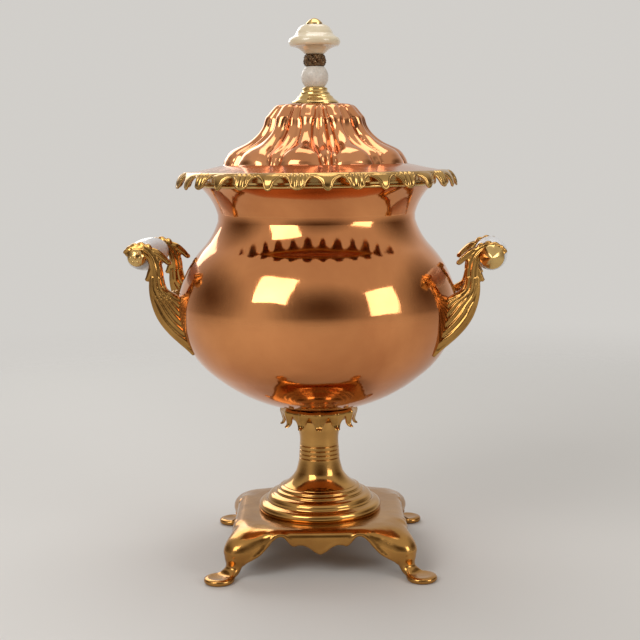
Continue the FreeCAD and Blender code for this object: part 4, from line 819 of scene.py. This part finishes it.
def crestLeaves(y):
    # small overlapping leaves along the arm's back, each a short curled blade
    arm = np.array(handle["arm"])
    spine = flowLine(arm[:, :2], crestLeaf["spine"])
    deep = flowLine(arm[:, 2:], crestLeaf["spine"])[:, 0]
    way = unitWay(spine)
    away = np.stack([-way[:, 1], way[:, 0]], -1)
    parts = []
    for place in crestLeaf["places"]:
        root = spine[place] + away[place] * (deep[place] - crestLeaf["root"])
        middle, tip = [root + way[place] * ahead + away[place] * out
                       for ahead, out in (crestLeaf["middle"], crestLeaf["tip"])]
        blade = flowLine([root, middle, tip], 18)
        path = np.stack([blade[:, 0], np.full(len(blade), y), blade[:, 1]], -1)
        taper = np.linspace(0, 1, len(blade))
        wide = crestLeaf["wide"] * (1 - 0.6 * taper) + 0.1
        thick = crestLeaf["thick"] * (1 - 0.5 * taper)
        parts.append(carried(path, wide, thick, (0, 1, 0), 20))
    return parts


def handleParts():
    parts = [offBowl(shieldPart())]
    for sign in (-1, 1):
        y = sign * handle["armSpread"]
        parts.append(offBowl(ribbonPart(sign)))
        for limb, ribs in (("arm", 8), ("innerLeaf", 5), ("outerLeaf", 5)):
            parts.append(limbPart(handle[limb], y, ribs))
        parts += crestLeaves(y)
        parts.append(gridPart(lyingSpin(np.array(handle["eye"]), 40) + np.array([0, y, 0])))
    return parts


grip = {"half": 31.9, "radius": 14.0, "crown": 3.0, "ribs": 14, "ribDepth": 0.5, "bore": 3.05}
# radius, distance from the cap's seat on the eye
cap = {
    "seat": 41.8,
    "pointed": [(3.1, 0.0), (9.6, 0.0), (10.0, 0.4), (10.0, 1.4), (9.5, 2.0), (0.3, 9.4), (0.0, 9.5),
                (0.0, 3.3), (3.1, 3.3)],
    "round": [(3.1, 0.0), (6.8, 0.0), (7.2, 0.5), (7.2, 1.8), (6.7, 2.3), (0.0, 5.0, 12.0), (0.0, 3.3),
              (3.1, 3.3)],
    "bead": [(0.0, -1.5), (1.5, 0.0, 1.5), (0.0, 1.5, 1.5)],
    "beads": 6, "beadRing": 3.9, "ringOut": 44.9, "middleOut": 46.4,
}


def lyingSpin(line, steps, flip=1.0):
    # a (radius, distance) line turned about the grip's axis, which lies along y
    turned = spin(line, steps)
    return np.stack([turned[..., 0] + handle["gripReach"], turned[..., 2] * flip,
                     turned[..., 1] + handle["gripHeight"]], -1)


def gripLine():
    # crowned roller whose radius carries turned ribs
    along = np.linspace(-grip["half"], grip["half"], 400)
    share = along / grip["half"]
    crown = grip["radius"] - grip["ribDepth"] - grip["crown"] * np.abs(share) ** 2.4
    radius = crown + grip["ribDepth"] * np.abs(np.cos(share * math.pi * grip["ribs"] / 2)) ** 0.8
    line = np.stack([radius, along], -1)
    return np.concatenate([[[grip["bore"], -grip["half"]]], line, [[grip["bore"], grip["half"]]]])


def beads(side):
    # ring of small beads and one in the middle on the round cap
    ball = spin(cornerLine(cap["bead"], 7), 14)
    places = [(cap["beadRing"], step * 2 * math.pi / cap["beads"], cap["ringOut"])
              for step in range(cap["beads"])]
    parts = []
    for offset, angle, out in places + [(0.0, 0.0, cap["middleOut"])]:
        centre = [handle["gripReach"] + offset * math.cos(angle), side * out,
                  handle["gripHeight"] + offset * math.sin(angle)]
        parts.append(gridPart(ball + np.array(centre)))
    return parts


def placed(parts, turn):
    return [(turnAboutZ(points, turn), quads) for points, quads in parts]


for sideName, quarter in (("right", 0.0), ("left", math.pi)):
    turn = urn["vesselTurn"] + quarter
    casting = addPiece(sideName + "Handle", placed(handleParts(), turn), paint["handleBrass"], "vessel",
                       ["handle_" + sideName], 180)
    castTogether(casting, voxel=0.62, rounds=4)
    roller = [gridPart(lyingSpin(gripLine(), 96), closeRows=True)]
    addPiece(sideName + "Grip", placed(roller, turn), paint["whiteChina"], "grip_" + sideName,
             ["grip_" + sideName], 60)
    kind = "pointed" if sideName == "right" else "round"
    capLine = cornerLine(cap[kind], 12) + np.array([0, cap["seat"]])
    for end in ("front", "back"):
        flip = -1.0 if (end == "front") == (sideName == "right") else 1.0
        parts = [gridPart(lyingSpin(capLine, 72, flip), closeRows=True)]
        if kind == "round":
            parts += beads(flip)
        addPiece(f"{sideName}{end.title()}Cap", placed(parts, turn), paint["brightBrass"], "vessel",
                 [f"grip_cap_{end}_{sideName}"], 30)
print("handles and grips made")

# pieces that keep their frame shape get their finish here
finishOf = {
    "light_brass": "brightBrass", "plain_brass": "dullBrass", "cast_brass": "stemBrass",
    "rod_steel": "rodSteel", "core_iron": "coreIron", "sleeve_copper": "sleeveCopper",
    "white_china": "whiteChina", "fibre": "redFibre", "vessel_copper": "bodyCopper",
    "lid_copper": "lidCopper", "ivory_china": "ivoryChina", "speckled_stone": "speckledStone",
    "dark_bronze": "darkLeaf",
}
for row in frame["record"]["subparts"]:
    node = frame["nodes"][row["node"]]
    for place in node.material_slots:
        place.material = paint[finishOf[row["material_slot"]]]

# studio: pale floor, soft lamps, and dark cards that only shiny surfaces see
studio = {
    "floorColour": (0.66, 0.64, 0.61), "floorReach": 3.2, "floorFade": (0.35, 1.6),
    "worldLight": 0.36, "backdrop": (0.64, 0.62, 0.59), "lampAim": (0, 0, 0.2),
    "lamps": [
        {"name": "softKey", "place": (-0.95, -1.15, 1.25), "size": 0.9, "power": 11.5},
        {"name": "softFill", "place": (1.25, -0.9, 0.75), "size": 0.7, "power": 5.5},
        {"name": "softTop", "place": (0.1, 0.3, 1.7), "size": 1.0, "power": 6.5},
        {"name": "softBack", "place": (-0.6, 1.2, 0.9), "size": 0.8, "power": 5.0},
    ],
    "cards": [
        {"place": (0.15, -2.2, 0.9), "size": (5.6, 3.6), "shade": (0.17, 0.12, 0.085)},
        {"place": (-2.1, 0.3, 0.8), "size": (4.4, 3.2), "shade": (0.19, 0.135, 0.095)},
        {"place": (2.1, 0.5, 0.8), "size": (4.4, 3.2), "shade": (0.19, 0.135, 0.095)},
    ],
}


def flatPiece(name, corners, material):
    mesh = bpy.data.meshes.new(name)
    mesh.from_pydata(corners, [], [list(range(len(corners)))])
    mesh.materials.append(material)
    piece = addObject(name, mesh)
    return piece


def backgroundSeen(tree):
    # 1 for the rays that meet the pale backdrop: camera, mirror and glass rays
    rays = addNode(tree, "LightPath").outputs
    seen = rays["Is Camera Ray"]
    for other in ("Is Glossy Ray", "Is Transmission Ray"):
        seen = addNode(tree, "Math", {0: seen, 1: rays[other]}, operation="MAXIMUM").outputs[0]
    return seen


def fading(tree, shader, distance, near, far):
    # the surface turns clear as distance goes from near to far
    clear = addNode(tree, "BsdfTransparent")
    amount = addNode(tree, "MapRange", {"Value": distance, "From Min": near, "From Max": far},
                     interpolation_type="SMOOTHSTEP").outputs["Result"]
    mix = addNode(tree, "MixShader", {0: amount, 1: shader.outputs[0], 2: clear.outputs[0]})
    tree.links.new(mix.outputs[0], tree.nodes["Material Output"].inputs["Surface"])


def floorMaterial():
    # near the urn a pale floor that takes its shadow, farther off clear, so that the backdrop shows
    material, tree, shader, place = newMaterial("paleFloor")
    cloud = addNode(tree, "TexNoise", {"Vector": place, "Scale": 3.0, "Detail": 3.0}).outputs["Fac"]
    base = studio["floorColour"]
    colour = blendRamp(tree, cloud, [(0.3, tuple(0.985 * c for c in base)), (0.7, base)])
    tree.links.new(colour, shader.inputs["Base Color"])
    shader.inputs["Roughness"].default_value = 0.6
    distance = addNode(tree, "VectorMath", {0: place}, operation="LENGTH").outputs["Value"]
    fading(tree, shader, distance, *studio["floorFade"])
    return material


def cardMaterial(name, card, middle, side, up):
    # dark in the middle with a soft round edge: distance = length of (across, upward) shares from the middle
    material, tree, shader, place = newMaterial(name)
    shader.inputs["Base Color"].default_value = (*card["shade"], 1)
    shader.inputs["Roughness"].default_value = 0.9
    offset = addNode(tree, "VectorMath", {0: place, 1: tuple(middle)}, operation="SUBTRACT").outputs[0]
    shares = []
    for way in (side, up):
        shares.append(addNode(tree, "VectorMath", {0: offset, 1: tuple(way / way.length_squared)},
                              operation="DOT_PRODUCT").outputs["Value"])
    both = addNode(tree, "CombineXYZ", {"X": shares[0], "Y": shares[1]}).outputs[0]
    distance = addNode(tree, "VectorMath", {0: both}, operation="LENGTH").outputs["Value"]
    fading(tree, shader, distance, 0.0, 1.0)
    return material


reach = studio["floorReach"]
floorCorners = [(-reach, -reach, 0), (reach, -reach, 0), (reach, reach, 0), (-reach, reach, 0)]
flatPiece("floor", floorCorners, floorMaterial())

for number, card in enumerate(studio["cards"]):
    middle = Vector(card["place"])
    facing = Vector((-middle.x, -middle.y, 0)).normalized()
    side = Vector((0, 0, 1)).cross(facing) * card["size"][0] / 2
    up = Vector((0, 0, card["size"][1] / 2))
    corners = [middle - side - up, middle + side - up, middle + side + up, middle - side + up]
    shade = cardMaterial(f"cardShade{number}", card, middle, side, up)
    piece = flatPiece(f"darkCard{number}", corners, shade)
    piece.visible_camera = False
    piece.visible_diffuse = False
    piece.visible_shadow = False

for lamp in studio["lamps"]:
    light = bpy.data.lights.new(lamp["name"], "AREA")
    light.energy = lamp["power"]
    light.size = lamp["size"]
    lampObject = addObject(lamp["name"], light)
    lampObject.location = lamp["place"]
    towards = Vector(studio["lampAim"]) - lampObject.location
    lampObject.rotation_euler = towards.to_track_quat("-Z", "Y").to_euler()

world = bpy.data.worlds.new("studioWorld")
bpy.context.scene.world = world
world.use_nodes = True
sky = world.node_tree
backdrop = sky.nodes["Background"]
level = valueRange(sky, backgroundSeen(sky), 0.0, 1.0, studio["worldLight"] / studio["backdrop"][1], 1.0)
sky.links.new(level, backdrop.inputs["Strength"])
backdrop.inputs["Color"].default_value = (*studio["backdrop"], 1)
bpy.context.scene.view_settings.view_transform = "Standard"
print("studio made")
